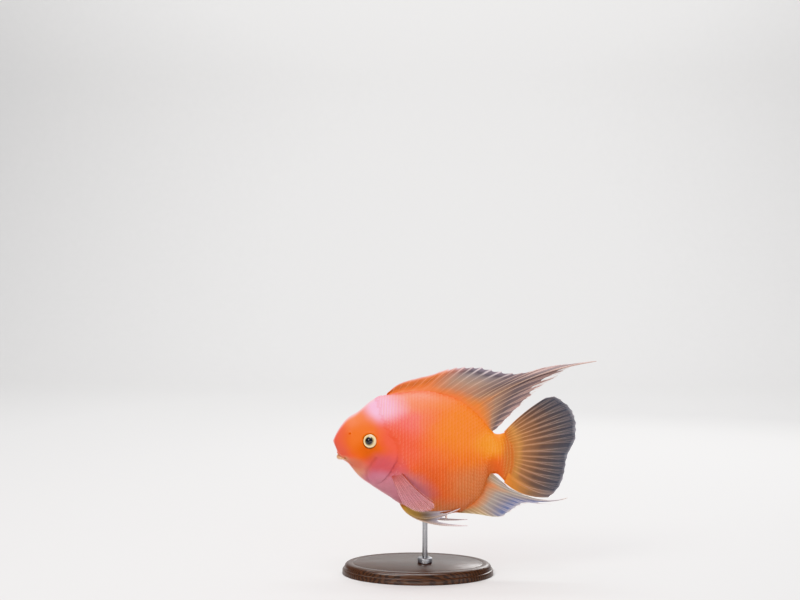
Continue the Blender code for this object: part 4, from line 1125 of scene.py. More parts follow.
def head_relief(points):
    """How far the skin stands out or in at each point, and how much painted shade it gets in creases, the
    mouth, the nostrils and round the eye.
    """
    body = settings().body
    x, y, z = points[..., 0], np.abs(points[..., 1]), points[..., 2]
    rise, crease = np.zeros(x.shape), np.zeros(x.shape)

    upper, lower = mouth_z(x, UPPER_EDGE_Z), mouth_z(x, LOWER_EDGE_Z)
    centre, gap = (upper + lower) / 2, (upper - lower) / 2
    ahead = (MOUTH_CORNER[0] - x) / MOUTH_FADE
    inside = step((gap + MOUTH_EDGE - np.abs(z - centre)) / MOUTH_EDGE_SOFTNESS)
    inside *= step(ahead) * (x < MOUTH_END)
    rise -= body.mouth_depth * inside
    # Painted shade inside the mouth's opening.
    crease = np.maximum(crease, 0.7 * inside)

    # Each crease dents the skin and gets painted shade along it.
    for path, depth, width, painted_shade in CREASES:
        away = distance_to_path(x, z, rounded_path(path)) / width
        rise -= depth * bell(away)
        crease = np.maximum(crease, painted_shade * bell(away))
    for at_x, at_z, radius, height in SWELLINGS:
        rise += height * bell(np.hypot(x - at_x, z - at_z) / radius)

    place = left_flank(*NOSTRIL_PLACE)[0]
    away = np.linalg.norm(np.stack([x, -y, z], axis=-1) - place, axis=-1) / NOSTRIL_RADIUS
    rise += NOSTRIL_RIM_HEIGHT * bell((away - 1.7) / 0.7) - body.nostril_depth * bell(away / 0.85)
    # Painted shade in the nostril's pit.
    crease = np.maximum(crease, 0.7 * bell(away / 0.9))

    place, normal = left_flank(*EYE_PLACE)
    offset = np.stack([x, -y, z], axis=-1) - place
    deep = offset @ normal
    away = np.linalg.norm(offset - deep[..., None] * normal, axis=-1)
    near = (np.abs(deep) < ORBIT_SIDE_REACH).astype(float)
    over = EYE_RIM + ORBIT_RIDGE_WIDTH
    rise += body.orbit_height * bell((away - over) / ORBIT_RIDGE_WIDTH) * near
    rise -= body.socket_depth * step((EYE_RIM + 0.0003 - away) / 0.0007) * near
    # Painted shadow of the brow on the skin over the eye, and painted shade at the socket's edge round the
    # eyeball.
    brow_shadow = 0.45 * bell((away - over) / 0.0009) * step((z - EYE_PLACE[1]) / 0.004)
    crease = np.maximum(crease, (brow_shadow + 0.7 * bell((away - EYE_RIM - 0.0002) / 0.0005)) * near)

    behind = distance_to_path(x, z, gill_rear_line()) / GILL_GROOVE_WIDTH
    rear_x = np.interp(z, *gill_rear_line()[::-1, ::-1].T)
    rise -= GILL_GROOVE_DEPTH * bell(behind) * (x > rear_x - 0.001)
    return rise, crease


def gill_rear_line():
    """The gill cover's rear edge from its top to its foot, as (x, z)."""
    down = np.linspace(0, 1, 60)
    return np.column_stack([smooth(GILL_REAR, down), smooth(GILL_REAR, down, 2)])


def grid_normals(points):
    """Outward normals of a ring grid whose second axis closes on itself."""
    along = np.gradient(points, axis=0)
    around = (np.roll(points, -1, axis=1) - np.roll(points, 1, axis=1)) / 2
    normal = np.cross(around, along)
    normal /= np.maximum(np.linalg.norm(normal, axis=-1, keepdims=True), 1e-12)
    centre = points.mean(axis=1, keepdims=True)
    return normal * np.sign(((points - centre) * normal).sum(axis=(0, 1, 2)))


def painted_rim_highlight(points):
    """1 along the ridge of the head and the keel of throat and chest, 0 away from them: where the skin gets a
    painted pale pink highlight.
    """
    x, z = points[..., 0], points[..., 2]
    ridge = bell((np.interp(x, *TOP) - z) / 0.0018) * step((0.046 - x) / 0.008)
    keel = bell((z - np.interp(x, *BOTTOM)) / 0.0018) * step((0.075 - x) / 0.015)
    return np.clip(ridge + keel, 0, 1)


def build_skin():
    """One skin from the snout to the tail's end, with the head's relief in it."""
    stations = skin_stations()
    angles = np.array([ring_angles(x) for x in stations])
    points = body_point(np.repeat(stations[:, None], RING_POINTS, axis=1), angles)
    normals = grid_normals(points)
    rise, crease = head_relief(points)
    points = points + normals * (rise - settings().body.coat_depth)[..., None]
    snout = (BACK[0][0] + settings().body.coat_depth, 0.0, BACK[0][1])
    tail = points[-1].mean(axis=0) + (TAIL_BULGE / 2, 0, 0)
    mesh = closed_rings("skin", points, [snout, tail])
    # The crease mark holds the weight of the painted shade.
    note(mesh, "crease", np.concatenate([crease.ravel(), [0, 0]]))
    # The rim mark holds the painted highlight along the ridge and keel.
    note(mesh, "rim", np.concatenate([painted_rim_highlight(points).ravel(), [1, 0]]))
    made = add_object("skin", mesh, flesh_material())
    finish_piece(made, "flesh", "head", "lower_jaw", "trunk", "tail_stalk")


def swept(name, path, radii, sides):
    """A closed tube along a path with round ends, with a radius at each of its points."""
    path, radii = np.asarray(path, float), np.asarray(radii, float)
    ahead = unit(np.gradient(path, axis=0))
    up = np.where(np.abs(ahead[:, 2:3]) < 0.9, [[0.0, 0.0, 1.0]], [[1.0, 0.0, 0.0]])
    side = unit(np.cross(ahead, up))
    over = np.cross(side, ahead)
    turn = full_turn(sides)
    spots = path[:, None] + radii[:, None, None] * (
        np.cos(turn)[None, :, None] * side[:, None] + np.sin(turn)[None, :, None] * over[:, None]
    )
    ends = [path[0] - ahead[0] * radii[0] * 0.5, path[-1] + ahead[-1] * radii[-1] * 0.5]
    return closed_rings(name, spots, ends), np.tile(turn, len(path))


def lip_path(front_z, rise, radius):
    """Middle of a lip from near one corner round the front to the other, and its radii."""
    x = np.linspace(0, LIP_BACK, PROFILE_SAMPLES)
    z = mouth_z(x, front_z)
    inside = z > np.interp(x, *BOTTOM)
    x, z = x[inside], z[inside]
    half = half_width_at(x, z)
    half[0] = 0
    line = np.stack([np.append(x[::-1], x[1:]), np.append(-half[::-1], half[1:])], axis=-1)
    arc = running_sum(np.hypot(*np.diff(line, axis=0).T))
    turns = np.linspace(-1, 1, LIP_STEPS)
    at = (turns + 1) / 2 * arc[-1]
    line = np.stack([np.interp(at, arc, line[:, 0]), np.interp(at, arc, line[:, 1])], axis=-1)
    ahead = unit(np.gradient(line, axis=0))
    radii = radius + (settings().body.lip_end - radius) * turns**2
    line += np.stack([ahead[:, 1], -ahead[:, 0]], axis=-1) * (LIP_SINK * radii)[:, None]
    return np.column_stack([line, mouth_z(line[:, 0], front_z) + rise * radii]), radii


def build_lips():
    """Thin upper lip in the snout's colour and full lower lip with a pale rim."""
    body, finish = settings().body, lip_material()
    for name, node, front_z, rise, radius in (
        ("upper_lip", "head", UPPER_EDGE_Z, 0.75, body.upper_lip),
        ("lower_lip", "lower_jaw", LOWER_EDGE_Z, -0.72, body.lower_lip),
    ):
        path, radii = lip_path(front_z, rise, radius)
        along = np.arange(len(path))
        folds = 1 + LIP_FOLD * np.sin(along * 1.9) + LIP_FOLD * np.sin(along * 0.7)
        mesh, turn = swept(name, path, radii * folds, LIP_SIDES)
        facing = -math.copysign(1, rise) * np.sin(turn)
        # The inside mark carries painted shade on the side of each lip facing into the mouth.
        note(mesh, "inside", np.concatenate([np.clip(facing, 0, 1), [0, 0]]))
        note(mesh, "pale", np.concatenate([np.clip(-facing, 0, 1) * (rise < 0), [0, 0]]))
        note(mesh, "snout", np.full(len(turn) + 2, float(rise > 0)))
        finish_piece(add_object(name, mesh, finish), "lip", node)


def build_vent():
    """Small pale papilla under the belly."""
    top = np.array([VENT_X, 0, float(np.interp(VENT_X, *BOTTOM)) + VENT_SUNK])
    foot = top + np.array([VENT_LEAN, 0, -VENT_SUNK - VENT_LENGTH])
    shares = np.linspace(0, 1, 24)
    radii = VENT_RADIUS * (1 - 0.6 * shares**2) * (1 + 0.05 * np.sin(shares * 30))
    radii[-4:] *= (0.96, 0.86, 0.66, 0.35)
    mesh, _ = swept("vent_papilla", top + shares[:, None] * (foot - top), radii, 20)
    made, nodes, sockets = new_material("pale_papilla", Coat_Weight=0.3, Specular_IOR_Level=0.5)
    place = nodes.object_place()
    patches = nodes.noise(place, 500.0)
    shade = nodes.mix(patches, linear(236, 196, 184), linear(250, 232, 222))
    surface(nodes, sockets, shade, nodes.ramp(patches, 0.2, 0.8, 0.35, 0.5))
    finish_piece(add_object("vent_papilla", mesh, made), "flesh", "trunk")


def build_gill_covers():
    """A plate on each side that rises from the crease of the cheek to a free rounded edge."""
    body = settings().body
    share_back, down = np.meshgrid(
        np.linspace(0, 1, GILL_COLUMNS), np.linspace(0, 1, GILL_ROWS), indexing="ij"
    )
    x = smooth(GILL_FRONT, down) * (1 - share_back) + smooth(GILL_REAR, down) * share_back
    z = smooth(GILL_FRONT, down, 2) * (1 - share_back) + smooth(GILL_REAR, down, 2) * share_back
    ends = step(down / 0.60) * step((1 - down) / 0.16)
    rise = -GILL_SUNK + (body.gill_rise + GILL_SUNK) * step(share_back * 1.1) * ends
    rise += GILL_SWELL * bell((share_back - 0.45) / 0.22) * ends
    rise -= GILL_ROLL * step((share_back - 0.92) / 0.08) * ends
    ripple = GILL_RIPPLE * np.sin(down * 40 + share_back * 9) * step(share_back * 3) * ends
    thick = GILL_THIN + (body.gill_edge - GILL_THIN) * share_back
    over = left_flank(x, z, rise + ripple)[0]
    under = left_flank(x, z, rise - thick)[0]
    finish = flesh_material("gill_cover_skin", 0.34)
    # Painted shade along the lower rear edge of the gill cover, fainter on its outer face than under it.
    crease = 0.7 * bell((share_back - 1.0) / 0.035) * step((down - 0.35) / 0.35)
    for word, turn in FLANKS:
        points = turn(np.concatenate([over.reshape(-1, 3), under.reshape(-1, 3)]))
        mesh = mesh_of(f"gill_cover_{word}_skin", placed(points), sheet_faces(GILL_COLUMNS, GILL_ROWS))
        note(mesh, "crease", np.concatenate([crease.ravel() * 0.4, crease.ravel()]))
        made = add_object(f"gill_cover_{word}_skin", mesh, finish)
        finish_piece(made, "gill_cover", f"gill_cover_{word}")


# Scales

SCALE_PITCH = (
    (0.026, 0.66), (0.040, 0.78), (0.058, 1.0), (0.105, 1.0), (0.125, 0.90), (0.1417, 0.66),
)
SCALE_START, SCALE_END = 0.0330, 0.1412
# Foremost scales at each level: the nape, the temple, behind the gill cover, the chest
SCALE_FRONT = (
    (-0.060, 0.050), (-0.040, 0.0490), (-0.030, 0.0450), (-0.0262, 0.0410), (-0.0212, 0.0418),
    (-0.0150, 0.0464), (-0.0085, 0.0504), (-0.0020, 0.0532), (0.0070, 0.0526), (0.0138, 0.0495),
    (0.0175, 0.0462),
    (0.0230, 0.0425), (0.0320, 0.0385), (0.0420, 0.0345), (0.0600, 0.0340),
)
LEAF_OUTLINE = ((0.0, 0.55), (0.30, 0.88), (0.62, 1.0), (0.84, 0.93), (0.96, 0.70), (1.0, 0.42))
LEAF_ACROSS = (-0.5, -0.18, 0.18, 0.5)
LEAF_CROWN = 0.9
BAKE_PATCH = 0.003
# Width of a scale in steps of its row, and share of a step left bare along back and belly
ROW_LAP, BARE_MIDLINE = 1.22, 0.2
# Bare skin round the eye, and behind this x over and under the tail stalk
BARE_ROUND_EYE, BARE_STALK_X, BARE_STALK_SIDE = 0.0125, 0.1345, 0.45
UNWRAP_START, UNWRAP_SPAN = 0.01, 0.97


def scale_leaf():
    """One scale of unit length, width and thickness: root at 0, free edge at 1 along x."""
    top, bottom, along, across = [], [], [], []
    for at, wide in LEAF_OUTLINE:
        for share_across in LEAF_ACROSS:
            y = share_across * wide
            crown = LEAF_CROWN * (1 - (2 * share_across) ** 2) * (1 - 0.6 * at**3)
            thin = 1 - 0.55 * at**4
            top.append((at, y, crown + thin))
            bottom.append((at, y, crown * 0.6))
            along.append(at)
            across.append(y + 0.5)
    columns, rows = len(LEAF_OUTLINE), len(LEAF_ACROSS)
    rim = rim_of(columns, rows)
    faces = []
    for i in range(columns - 1):
        for j in range(rows - 1):
            a, b = i * rows + j, (i + 1) * rows + j
            faces.append((a, b, b + 1, a + 1))
    lowered = {r: columns * rows + k for k, r in enumerate(rim)}
    faces += [
        (there, here, lowered[here], lowered[there]) for here, there in zip(rim, rim[1:] + rim[:1])
    ]
    faces.append(tuple(lowered[r] for r in rim))
    points = top + [bottom[r] for r in rim]
    mesh = mesh_of("scale_leaf", points, faces, sharp=math.radians(50))
    note(mesh, "leaf_along", along + [along[r] for r in rim])
    note(mesh, "leaf_across", across + [across[r] for r in rim])
    return mesh


def scale_seats():
    """Root, directions, size, place on the unwrapped skin and tint of every scale."""
    sizes = settings().scales
    draw = np.random.default_rng(sizes.seed)
    xs = np.linspace(SCALE_START, SCALE_END, 2000)
    spacing = sizes.pitch * smooth(SCALE_PITCH, xs)
    count = running_sum(np.diff(xs) / spacing[1:])
    columns = np.interp(np.arange(0, int(count[-1]) + 1), count, xs)
    probe = np.linspace(0, math.pi, RING_PROBE)
    seats = []
    for number, x in enumerate(columns):
        local = sizes.pitch * float(smooth(SCALE_PITCH, x))
        ring = body_point(np.full_like(probe, x), probe)
        arc = running_sum(np.linalg.norm(np.diff(ring, axis=0), axis=1))
        middle = np.interp(math.pi / 2, probe, arc)
        gap = sizes.height * local
        first = math.ceil((0.25 * gap - middle) / gap)
        for k in range(first, int((arc[-1] - middle) / gap) + 2):
            at = middle + (k + 0.5 * (number % 2)) * gap
            if BARE_MIDLINE * gap < at < arc[-1] - BARE_MIDLINE * gap:
                seats.append((x, float(np.interp(at, arc, probe)), local))
    x, angle, local = np.array(seats).T
    here = body_point(x, angle)
    ahead = unit(body_point(x + 0.0004, angle) - body_point(x - 0.0004, angle))
    around = body_point(x, angle + 0.01) - body_point(x, angle - 0.01)
    normal = unit(np.cross(around, ahead))
    normal *= np.where(normal[:, 1] > 0, -1, 1)[:, None]
    keep = here[:, 0] > np.interp(here[:, 2], *np.array(SCALE_FRONT).T)
    keep &= np.linalg.norm(here - left_flank(*EYE_PLACE)[0], axis=1) > BARE_ROUND_EYE
    keep &= (x < BARE_STALK_X) | (np.abs(np.sin(angle)) > BARE_STALK_SIDE)
    parts = [a[keep] for a in (here, ahead, normal, x, angle, local)]
    tint = 1 + 0.05 * (draw.random(keep.sum()) - 0.5)
    grow = 1 + sizes.variation * (draw.random(keep.sum()) - 0.5)
    lean = sizes.tilt * (1 + 0.3 * (draw.random(keep.sum()) - 0.5))
    return (*parts, tint, grow, lean)


def scales_tree():
    """Sets a scale on every seat, and lays each on its patch of the unwrapped skin."""
    nodes, given, out, keys = shape_group("scale_coat", [
        ("Leaf", "NodeSocketObject"), ("Overlap", FLOAT), ("Height", FLOAT), ("Thickness", FLOAT),
        ("Patch", FLOAT), ("Finish", MATERIAL),
    ])

    def named(label, kind):
        made = nodes.add("GeometryNodeInputNamedAttribute", {"Name": label}, data_type=kind)
        return made.outputs["Attribute"]

    leaf = nodes.add("GeometryNodeObjectInfo", {"Object": given["Leaf"]}).outputs["Geometry"]
    size = named("size", "FLOAT")
    stretch = nodes.add("ShaderNodeCombineXYZ", [
        nodes.math("MULTIPLY", size, given["Overlap"]),
        nodes.math("MULTIPLY", size, given["Height"]),
        given["Thickness"],
    ]).outputs[0]
    set_out = nodes.add("GeometryNodeInstanceOnPoints", {
        "Points": given["Geometry"], "Instance": leaf,
        "Rotation": named("turn", "QUATERNION"), "Scale": stretch,
    }).outputs[0]
    whole = nodes.add("GeometryNodeRealizeInstances", [set_out]).outputs[0]
    spot = nodes.add("ShaderNodeCombineXYZ", [
        named("leaf_along", "FLOAT"), named("leaf_across", "FLOAT"), 0.0,
    ]).outputs[0]
    patch = nodes.add("ShaderNodeVectorMath", operation="SCALE")
    nodes.feed(patch.inputs[0], spot)
    nodes.feed(patch.inputs["Scale"], given["Patch"])
    unwrapped = nodes.vector("ADD", named("seat_uv", "FLOAT_VECTOR"), patch.outputs[0])
    stored = nodes.add("GeometryNodeStoreNamedAttribute", data_type="FLOAT2", domain="CORNER")
    nodes.feed(stored.inputs["Geometry"], whole)
    nodes.feed(stored.inputs["Name"], "OFBake")
    nodes.feed(stored.inputs["Value"], unwrapped)
    done = nodes.add("GeometryNodeSetMaterial", {
        "Geometry": stored.outputs[0], "Material": given["Finish"],
    })
    nodes.feed(out["Geometry"], done.outputs[0])
    return nodes.tree, keys


def build_scales():
    """The coat of scales over the trunk, nape and tail stalk, on both sides."""
    sizes = settings().scales
    here, ahead, normal, x, angle, local, tint, grow, lean = scale_seats()
    sink = settings().body.coat_depth + 0.6 * sizes.thickness
    places, turns, unwraps = [], [], []
    for way in (1, -1):
        side = np.array([1.0, way, 1.0])
        for p, a, n, angle_here, x_here, tilt in zip(here, ahead, normal, angle, x, lean):
            a, n = a * side, n * side
            n = n - a * (a @ n)
            n /= np.linalg.norm(n)
            run = a * math.cos(tilt) + n * math.sin(tilt)
            out = n * math.cos(tilt) - a * math.sin(tilt)
            across = np.cross(out, run)
            turns.append(Matrix(np.column_stack([run, across, out])).to_quaternion())
            places.append(placed(p * side - n * sink))
            around = angle_here if way > 0 else 2 * math.pi - angle_here
            unwraps.append((
                UNWRAP_START + UNWRAP_SPAN * x_here / TAIL_END,
                UNWRAP_START + UNWRAP_SPAN * around / (2 * math.pi), 0.0,
            ))
    mesh = bpy.data.meshes.new("scales")
    mesh.from_pydata([tuple(p) for p in places], [], [])
    note(mesh, "turn", turns, "QUATERNION")
    note(mesh, "seat_uv", unwraps, "FLOAT_VECTOR", "vector")
    note(mesh, "size", np.tile(local * grow, 2))
    note(mesh, "tint", np.tile(tint, 2))
    made = add_object("scales", mesh)
    leaf = add_object("scale_leaf", scale_leaf())
    built_by(made, *scales_tree(), {
        "Leaf": leaf, "Overlap": sizes.overlap, "Height": sizes.height * ROW_LAP,
        "Thickness": sizes.thickness, "Patch": BAKE_PATCH, "Finish": scale_material(),
    })
    bpy.data.objects.remove(leaf)
    made.data.shade_smooth()
    made.data.set_sharp_from_angle(angle=math.radians(50))
    finish_piece(made, "flesh")


# Eyes

EYE_STEPS, EYE_RINGS, EYE_CLEARANCE = 96, 60, 0.00005
PUPIL_GROOVE, IRIS_RISE, IRIS_PLACE, IRIS_WIDTH = 0.00012, 0.00010, 0.0043, 0.0006


def build_eyes():
    """Eyeballs with a bulging lens, which look out of their sockets."""
    sizes = settings().eyes
    finish = eye_material()
    place, normal = left_flank(*EYE_PLACE)
    centre = place - normal * (EYE_RADIUS - EYE_STANDS_PROUD)
    polar = np.linspace(0, 0.5 * math.pi, EYE_RINGS)
    ahead = np.cross(normal, (0, 0, 1))
    ahead /= np.linalg.norm(ahead)
    up = np.cross(ahead, normal)
    forward = ahead if ahead[0] < 0 else -ahead
    around = full_turn(EYE_STEPS)
    radius = EYE_RADIUS - EYE_CLEARANCE
    rings = []
    for tilt in polar[1:]:
        spots = math.sin(tilt) * (
            np.cos(around)[:, None] * forward + np.sin(around)[:, None] * up
        ) + math.cos(tilt) * normal
        rings.append(spots)
    rings += [s - normal * 0.35 for s in rings[-1:]]
    spots = np.array(rings) * radius
    flat_place = np.stack([spots @ forward - sizes.shift, spots @ up - sizes.lift], axis=-1)
    away = np.linalg.norm(flat_place, axis=-1)
    bulge = sizes.lens_rise * step((sizes.pupil * 1.02 - away) / (sizes.pupil * 0.75))
    groove = PUPIL_GROOVE * bell((away - sizes.pupil * 1.12) / 0.00025)
    ring_rise = IRIS_RISE * bell((away - IRIS_PLACE) / IRIS_WIDTH)
    spots = spots + normal * (bulge - groove + ring_rise)[..., None]
    front = normal * (radius + sizes.lens_rise)
    back = spots[-1].mean(axis=0) - normal * 0.002
    poles = [[-sizes.shift, -sizes.lift], [1.0, 0.0]]
    polar_place = np.vstack([flat_place.reshape(-1, 2), poles]) / EYE_RIM
    polar_place = np.column_stack([polar_place, np.zeros(len(polar_place))])
    for word, turn in FLANKS:
        mesh = closed_rings(
            f"eyeball_{word}", spots, [front, back], lambda points: placed(turn(points + centre))
        )
        note(mesh, "eye_place", polar_place, "FLOAT_VECTOR", "vector")
        finish_piece(add_object(f"eyeball_{word}", mesh, finish), "eye", f"eye_{word}")


# Fins: outlines as (share of root, x, z, bow, reach), as in the solids

DORSAL_START, DORSAL_END = 0.0440, 0.1306
DORSAL_TIPS = (
    (0.000, 0.0452, 0.0486, 0.00, 1.00), (0.065, 0.0545, 0.0558, 0.00, 1.00),
    (0.147, 0.0680, 0.0602, 0.00, 1.00), (0.228, 0.0820, 0.0636, 0.01, 1.00),
    (0.308, 0.0952, 0.0683, 0.02, 1.00), (0.390, 0.1080, 0.0701, 0.03, 1.00),
    (0.473, 0.1215, 0.0700, 0.03, 1.00), (0.546, 0.1345, 0.0672, 0.04, 1.00),
    (0.613, 0.1500, 0.0660, 0.05, 0.95), (0.670, 0.1800, 0.0730, 0.07, 0.73),
    (0.720, 0.2080, 0.0770, 0.12, 0.73), (0.740, 0.2140, 0.0764, 0.13, 0.80),
    (0.760, 0.2158, 0.0746, 0.13, 1.00), (0.780, 0.2150, 0.0732, 0.13, 0.80),
    (0.810, 0.2100, 0.0690, 0.11, 0.74), (0.843, 0.1930, 0.0630, 0.09, 0.76),
    (0.885, 0.1660, 0.0478, 0.06, 0.90), (0.925, 0.1500, 0.0350, 0.04, 0.98),
    (0.960, 0.1410, 0.0262, 0.03, 1.00), (1.000, 0.1345, 0.0198, 0.00, 1.00),
)
ANAL_START, ANAL_END = 0.1015, 0.1305
ANAL_TIPS = (
    (0.00, 0.1040, -0.0500, 0.00, 1.00), (0.12, 0.1150, -0.0504, 0.00, 1.00),
    (0.24, 0.1262, -0.0518, -0.02, 1.00), (0.33, 0.1330, -0.0528, -0.03, 1.00),
    (0.42, 0.1390, -0.0526, -0.04, 1.00), (0.51, 0.1462, -0.0494, -0.05, 0.93),
    (0.60, 0.1590, -0.0462, -0.07, 0.73), (0.70, 0.1770, -0.0442, -0.09, 0.58),
    (0.76, 0.18500, -0.04158, -0.136, 0.69), (0.79, 0.19263, -0.03904, -0.179, 0.81),
    (0.82, 0.19205, -0.03625, -0.203, 1.00), (0.85, 0.19131, -0.03587, -0.200, 0.78),
    (0.88, 0.18488, -0.03693, -0.181, 0.60), (0.93, 0.16722, -0.03577, -0.134, 0.58),
    (0.97, 0.14859, -0.03078, -0.057, 0.78), (1.00, 0.14020, -0.02510, 0.030, 1.00),
)
CAUDAL_TIPS = (
    (0.00, 0.1744, 0.0459, 0.072, 1.00), (0.07, 0.1810, 0.0468, 0.062, 1.00),
    (0.16, 0.1876, 0.0432, 0.045, 1.00), (0.26, 0.1950, 0.0363, 0.028, 1.00),
    (0.35, 0.1976, 0.0306, 0.015, 1.00), (0.44, 0.1992, 0.0236, 0.005, 1.00),
    (0.53, 0.1992, 0.0155, 0.000, 1.00), (0.59, 0.1979, 0.0082, 0.000, 1.00),
    (0.63, 0.1945, 0.0026, -0.005, 1.00), (0.70, 0.1917, -0.0060, -0.025, 1.00),
    (0.78, 0.1903, -0.0150, -0.060, 1.00), (0.86, 0.1880, -0.0238, -0.115, 1.00),
    (0.93, 0.1828, -0.0320, -0.165, 1.00), (1.00, 0.1769, -0.0368, -0.212, 1.00),
)
# Where each ray of the tail fin starts, as (share of the fin, share of the way round the tail's end)
CAUDAL_ROOTS = (
    (0.00, 0.04), (0.16, 0.145), (0.35, 0.253), (0.53, 0.357), (0.70, 0.486), (0.78, 0.536),
    (0.86, 0.592), (0.93, 0.69), (1.00, 0.96),
)
PECTORAL_PLACE, PECTORAL_BASE, PECTORAL_SUNK = (0.0552, -0.0160), 0.0088, 0.0035
PECTORAL_AHEAD, PECTORAL_ACROSS = (0.66, -0.26, -0.60), (0.50, 0.0, 0.87)
PECTORAL_TIPS = (
    (0.00, 0.0350, 0.0052, -0.11, 1.00), (0.20, 0.0392, 0.0016, -0.08, 1.00),
    (0.40, 0.0370, -0.0040, -0.05, 1.00), (0.60, 0.0325, -0.0088, -0.04, 1.00),
    (0.80, 0.0265, -0.0120, -0.04, 1.00), (1.00, 0.0190, -0.0138, -0.05, 1.00),
)
PELVIC_PLACE, PELVIC_BASE, PELVIC_SLOPE, PELVIC_SUNK = (0.0582, -0.0432), 0.0060, 0.30, 0.0028
PELVIC_AHEAD, PELVIC_ACROSS = (1.0, -0.04, 0.0), (0.0, 0.28, 1.0)
PELVIC_TIPS = (
    (0.00, 0.0530, -0.0160, -0.28, 1.00), (0.20, 0.0464, -0.0024, -0.45, 1.00),
    (0.40, 0.0362, -0.0040, -0.26, 1.00), (0.60, 0.0285, -0.0030, -0.14, 1.00),
    (0.80, 0.0205, -0.0012, -0.11, 1.00), (1.00, 0.0145, 0.0005, -0.09, 1.00),
)
ROOT_SUNK = 0.0009


def sunk(root, depth, way):
    """The root line moved into the body by the depth, so that no gap shows."""
    def line(share_along):
        probe = 0.004
        here = root(share_along)
        before, after = (root(np.clip(share_along + d, 0, 1)) for d in (-probe, probe))
        run = unit(after - before)
        return here - depth * way * np.stack([-run[..., 1], run[..., 0]], axis=-1)
    return line


def trail(u, v, at, drift):
    return drift * v**3 * np.exp(-(((u - at) / 0.10) ** 2))


def dorsal_sway(u, v):
    return 0.0022 * v * v * np.sin(5.2 * u - 0.6) + trail(u, v, 0.76, 0.006)


def anal_sway(u, v):
    return -0.0016 * v * v * np.sin(5.0 * u) + trail(u, v, 0.80, -0.004)


def caudal_sway(u, v):
    return 0.0045 * v**1.5 * np.sin(2.6 * (u - 0.35)) - 0.0030 * v * v


def pectoral_sway(u, v):
    return -0.0010 * v * v + 0.0012 * v * np.sin(3.0 * u)


def pelvic_sway(u, v):
    return -0.0030 * v * v + 0.0012 * v * np.sin(4.0 * u)


def caudal_root(share_down):
    """Round end of the tail, from its top to its foot."""
    angle = math.pi * smooth(CAUDAL_ROOTS, share_down)
    point = body_point(np.full_like(share_down, TAIL_END), angle)
    return point[..., [0, 2]] - np.array([ROOT_SUNK, 0.0])


def pectoral_root(share_down):
    base = PECTORAL_BASE * (0.5 - share_down)
    return np.stack([np.full_like(share_down, -PECTORAL_SUNK), base], axis=-1)


def pelvic_root(share_back):
    along = PELVIC_BASE * (share_back - 0.5)
    return np.stack([along, PELVIC_SUNK + PELVIC_SLOPE * along], axis=-1)


def frame_of(place, ahead, across):
    """Matrix whose x runs along the fin, z across its rays and y through it."""
    ahead = Vector(ahead).normalized()
    through = Vector(across).cross(ahead).normalized()
    turn = Matrix((ahead, through, ahead.cross(through))).transposed()
    return Matrix.Translation(place) @ turn.to_4x4()


def spaced(spines, soft_rays, soft_from):
    return [*np.linspace(0, soft_from, spines, endpoint=False), *np.linspace(soft_from, 1, soft_rays)]


def tones(*stops):
    """Colours from a fin's root to its margin: (share of the reach, display colour)."""
    return tuple((at, linear(*display)) for at, display in stops)


# Colours between the rays and over them, for zones that start at a share of the root
DORSAL_ZONES = (
    (0.0, 0.0, (
        tones((0.0, (248, 138, 78)), (0.30, (222, 120, 60)), (0.55, (200, 106, 50)),
              (0.80, (212, 116, 64)), (0.92, (238, 150, 118)), (1.0, (252, 206, 206))),
        tones((0.0, (248, 140, 80)), (0.30, (226, 126, 66)), (0.55, (206, 114, 58)),
              (0.80, (220, 126, 74)), (0.92, (242, 160, 128)), (1.0, (252, 212, 212))),
    )),
    (0.36, 0.11, (
        tones((0.0, (242, 124, 60)), (0.11, (214, 122, 70)), (0.25, (184, 128, 98)), (0.50, (168, 138, 120)),
              (0.74, (142, 128, 126)), (0.86, (98, 88, 96)), (1.0, (140, 128, 138))),
        tones((0.0, (244, 126, 62)), (0.11, (220, 130, 78)), (0.25, (194, 142, 112)), (0.50, (178, 148, 130)),
              (0.74, (164, 150, 146)), (0.86, (194, 180, 182)), (1.0, (226, 212, 216))),
    )),
    (0.64, 0.08, (
        tones((0.0, (244, 130, 46)), (0.08, (212, 126, 64)), (0.24, (158, 122, 100)),
              (0.50, (108, 92, 92)), (1.0, (130, 108, 108))),
        tones((0.0, (246, 132, 50)), (0.08, (220, 138, 76)), (0.24, (188, 150, 122)),
              (0.50, (146, 120, 112)), (1.0, (184, 148, 142))),
    )),
)
ANAL_ZONES = (
    (0.0, 0.0, (
        tones((0.0, (230, 122, 60)), (0.25, (190, 150, 108)), (1.0, (176, 160, 128))),
        tones((0.0, (234, 130, 68)), (0.25, (206, 170, 128)), (1.0, (208, 194, 160))),
    )),
    (0.36, 0.14, (
        tones((0.0, (232, 122, 56)), (0.14, (198, 144, 108)), (0.30, (164, 150, 140)),
              (0.52, (140, 132, 140)), (0.70, (118, 124, 154)), (0.86, (102, 114, 158)),
              (1.0, (176, 170, 178))),
        tones((0.0, (236, 130, 64)), (0.14, (206, 156, 120)), (0.30, (182, 168, 156)),
              (0.52, (160, 152, 156)), (0.70, (142, 144, 166)), (0.86, (150, 152, 178)),
              (1.0, (224, 214, 210))),
    )),
    (0.84, 0.08, (
        tones((0.0, (206, 144, 96)), (0.15, (176, 156, 134)), (0.50, (164, 158, 156)),
              (1.0, (176, 170, 160))),
        tones((0.0, (214, 154, 106)), (0.15, (198, 180, 158)), (0.50, (196, 190, 184)),
              (1.0, (206, 198, 182))),
    )),
)
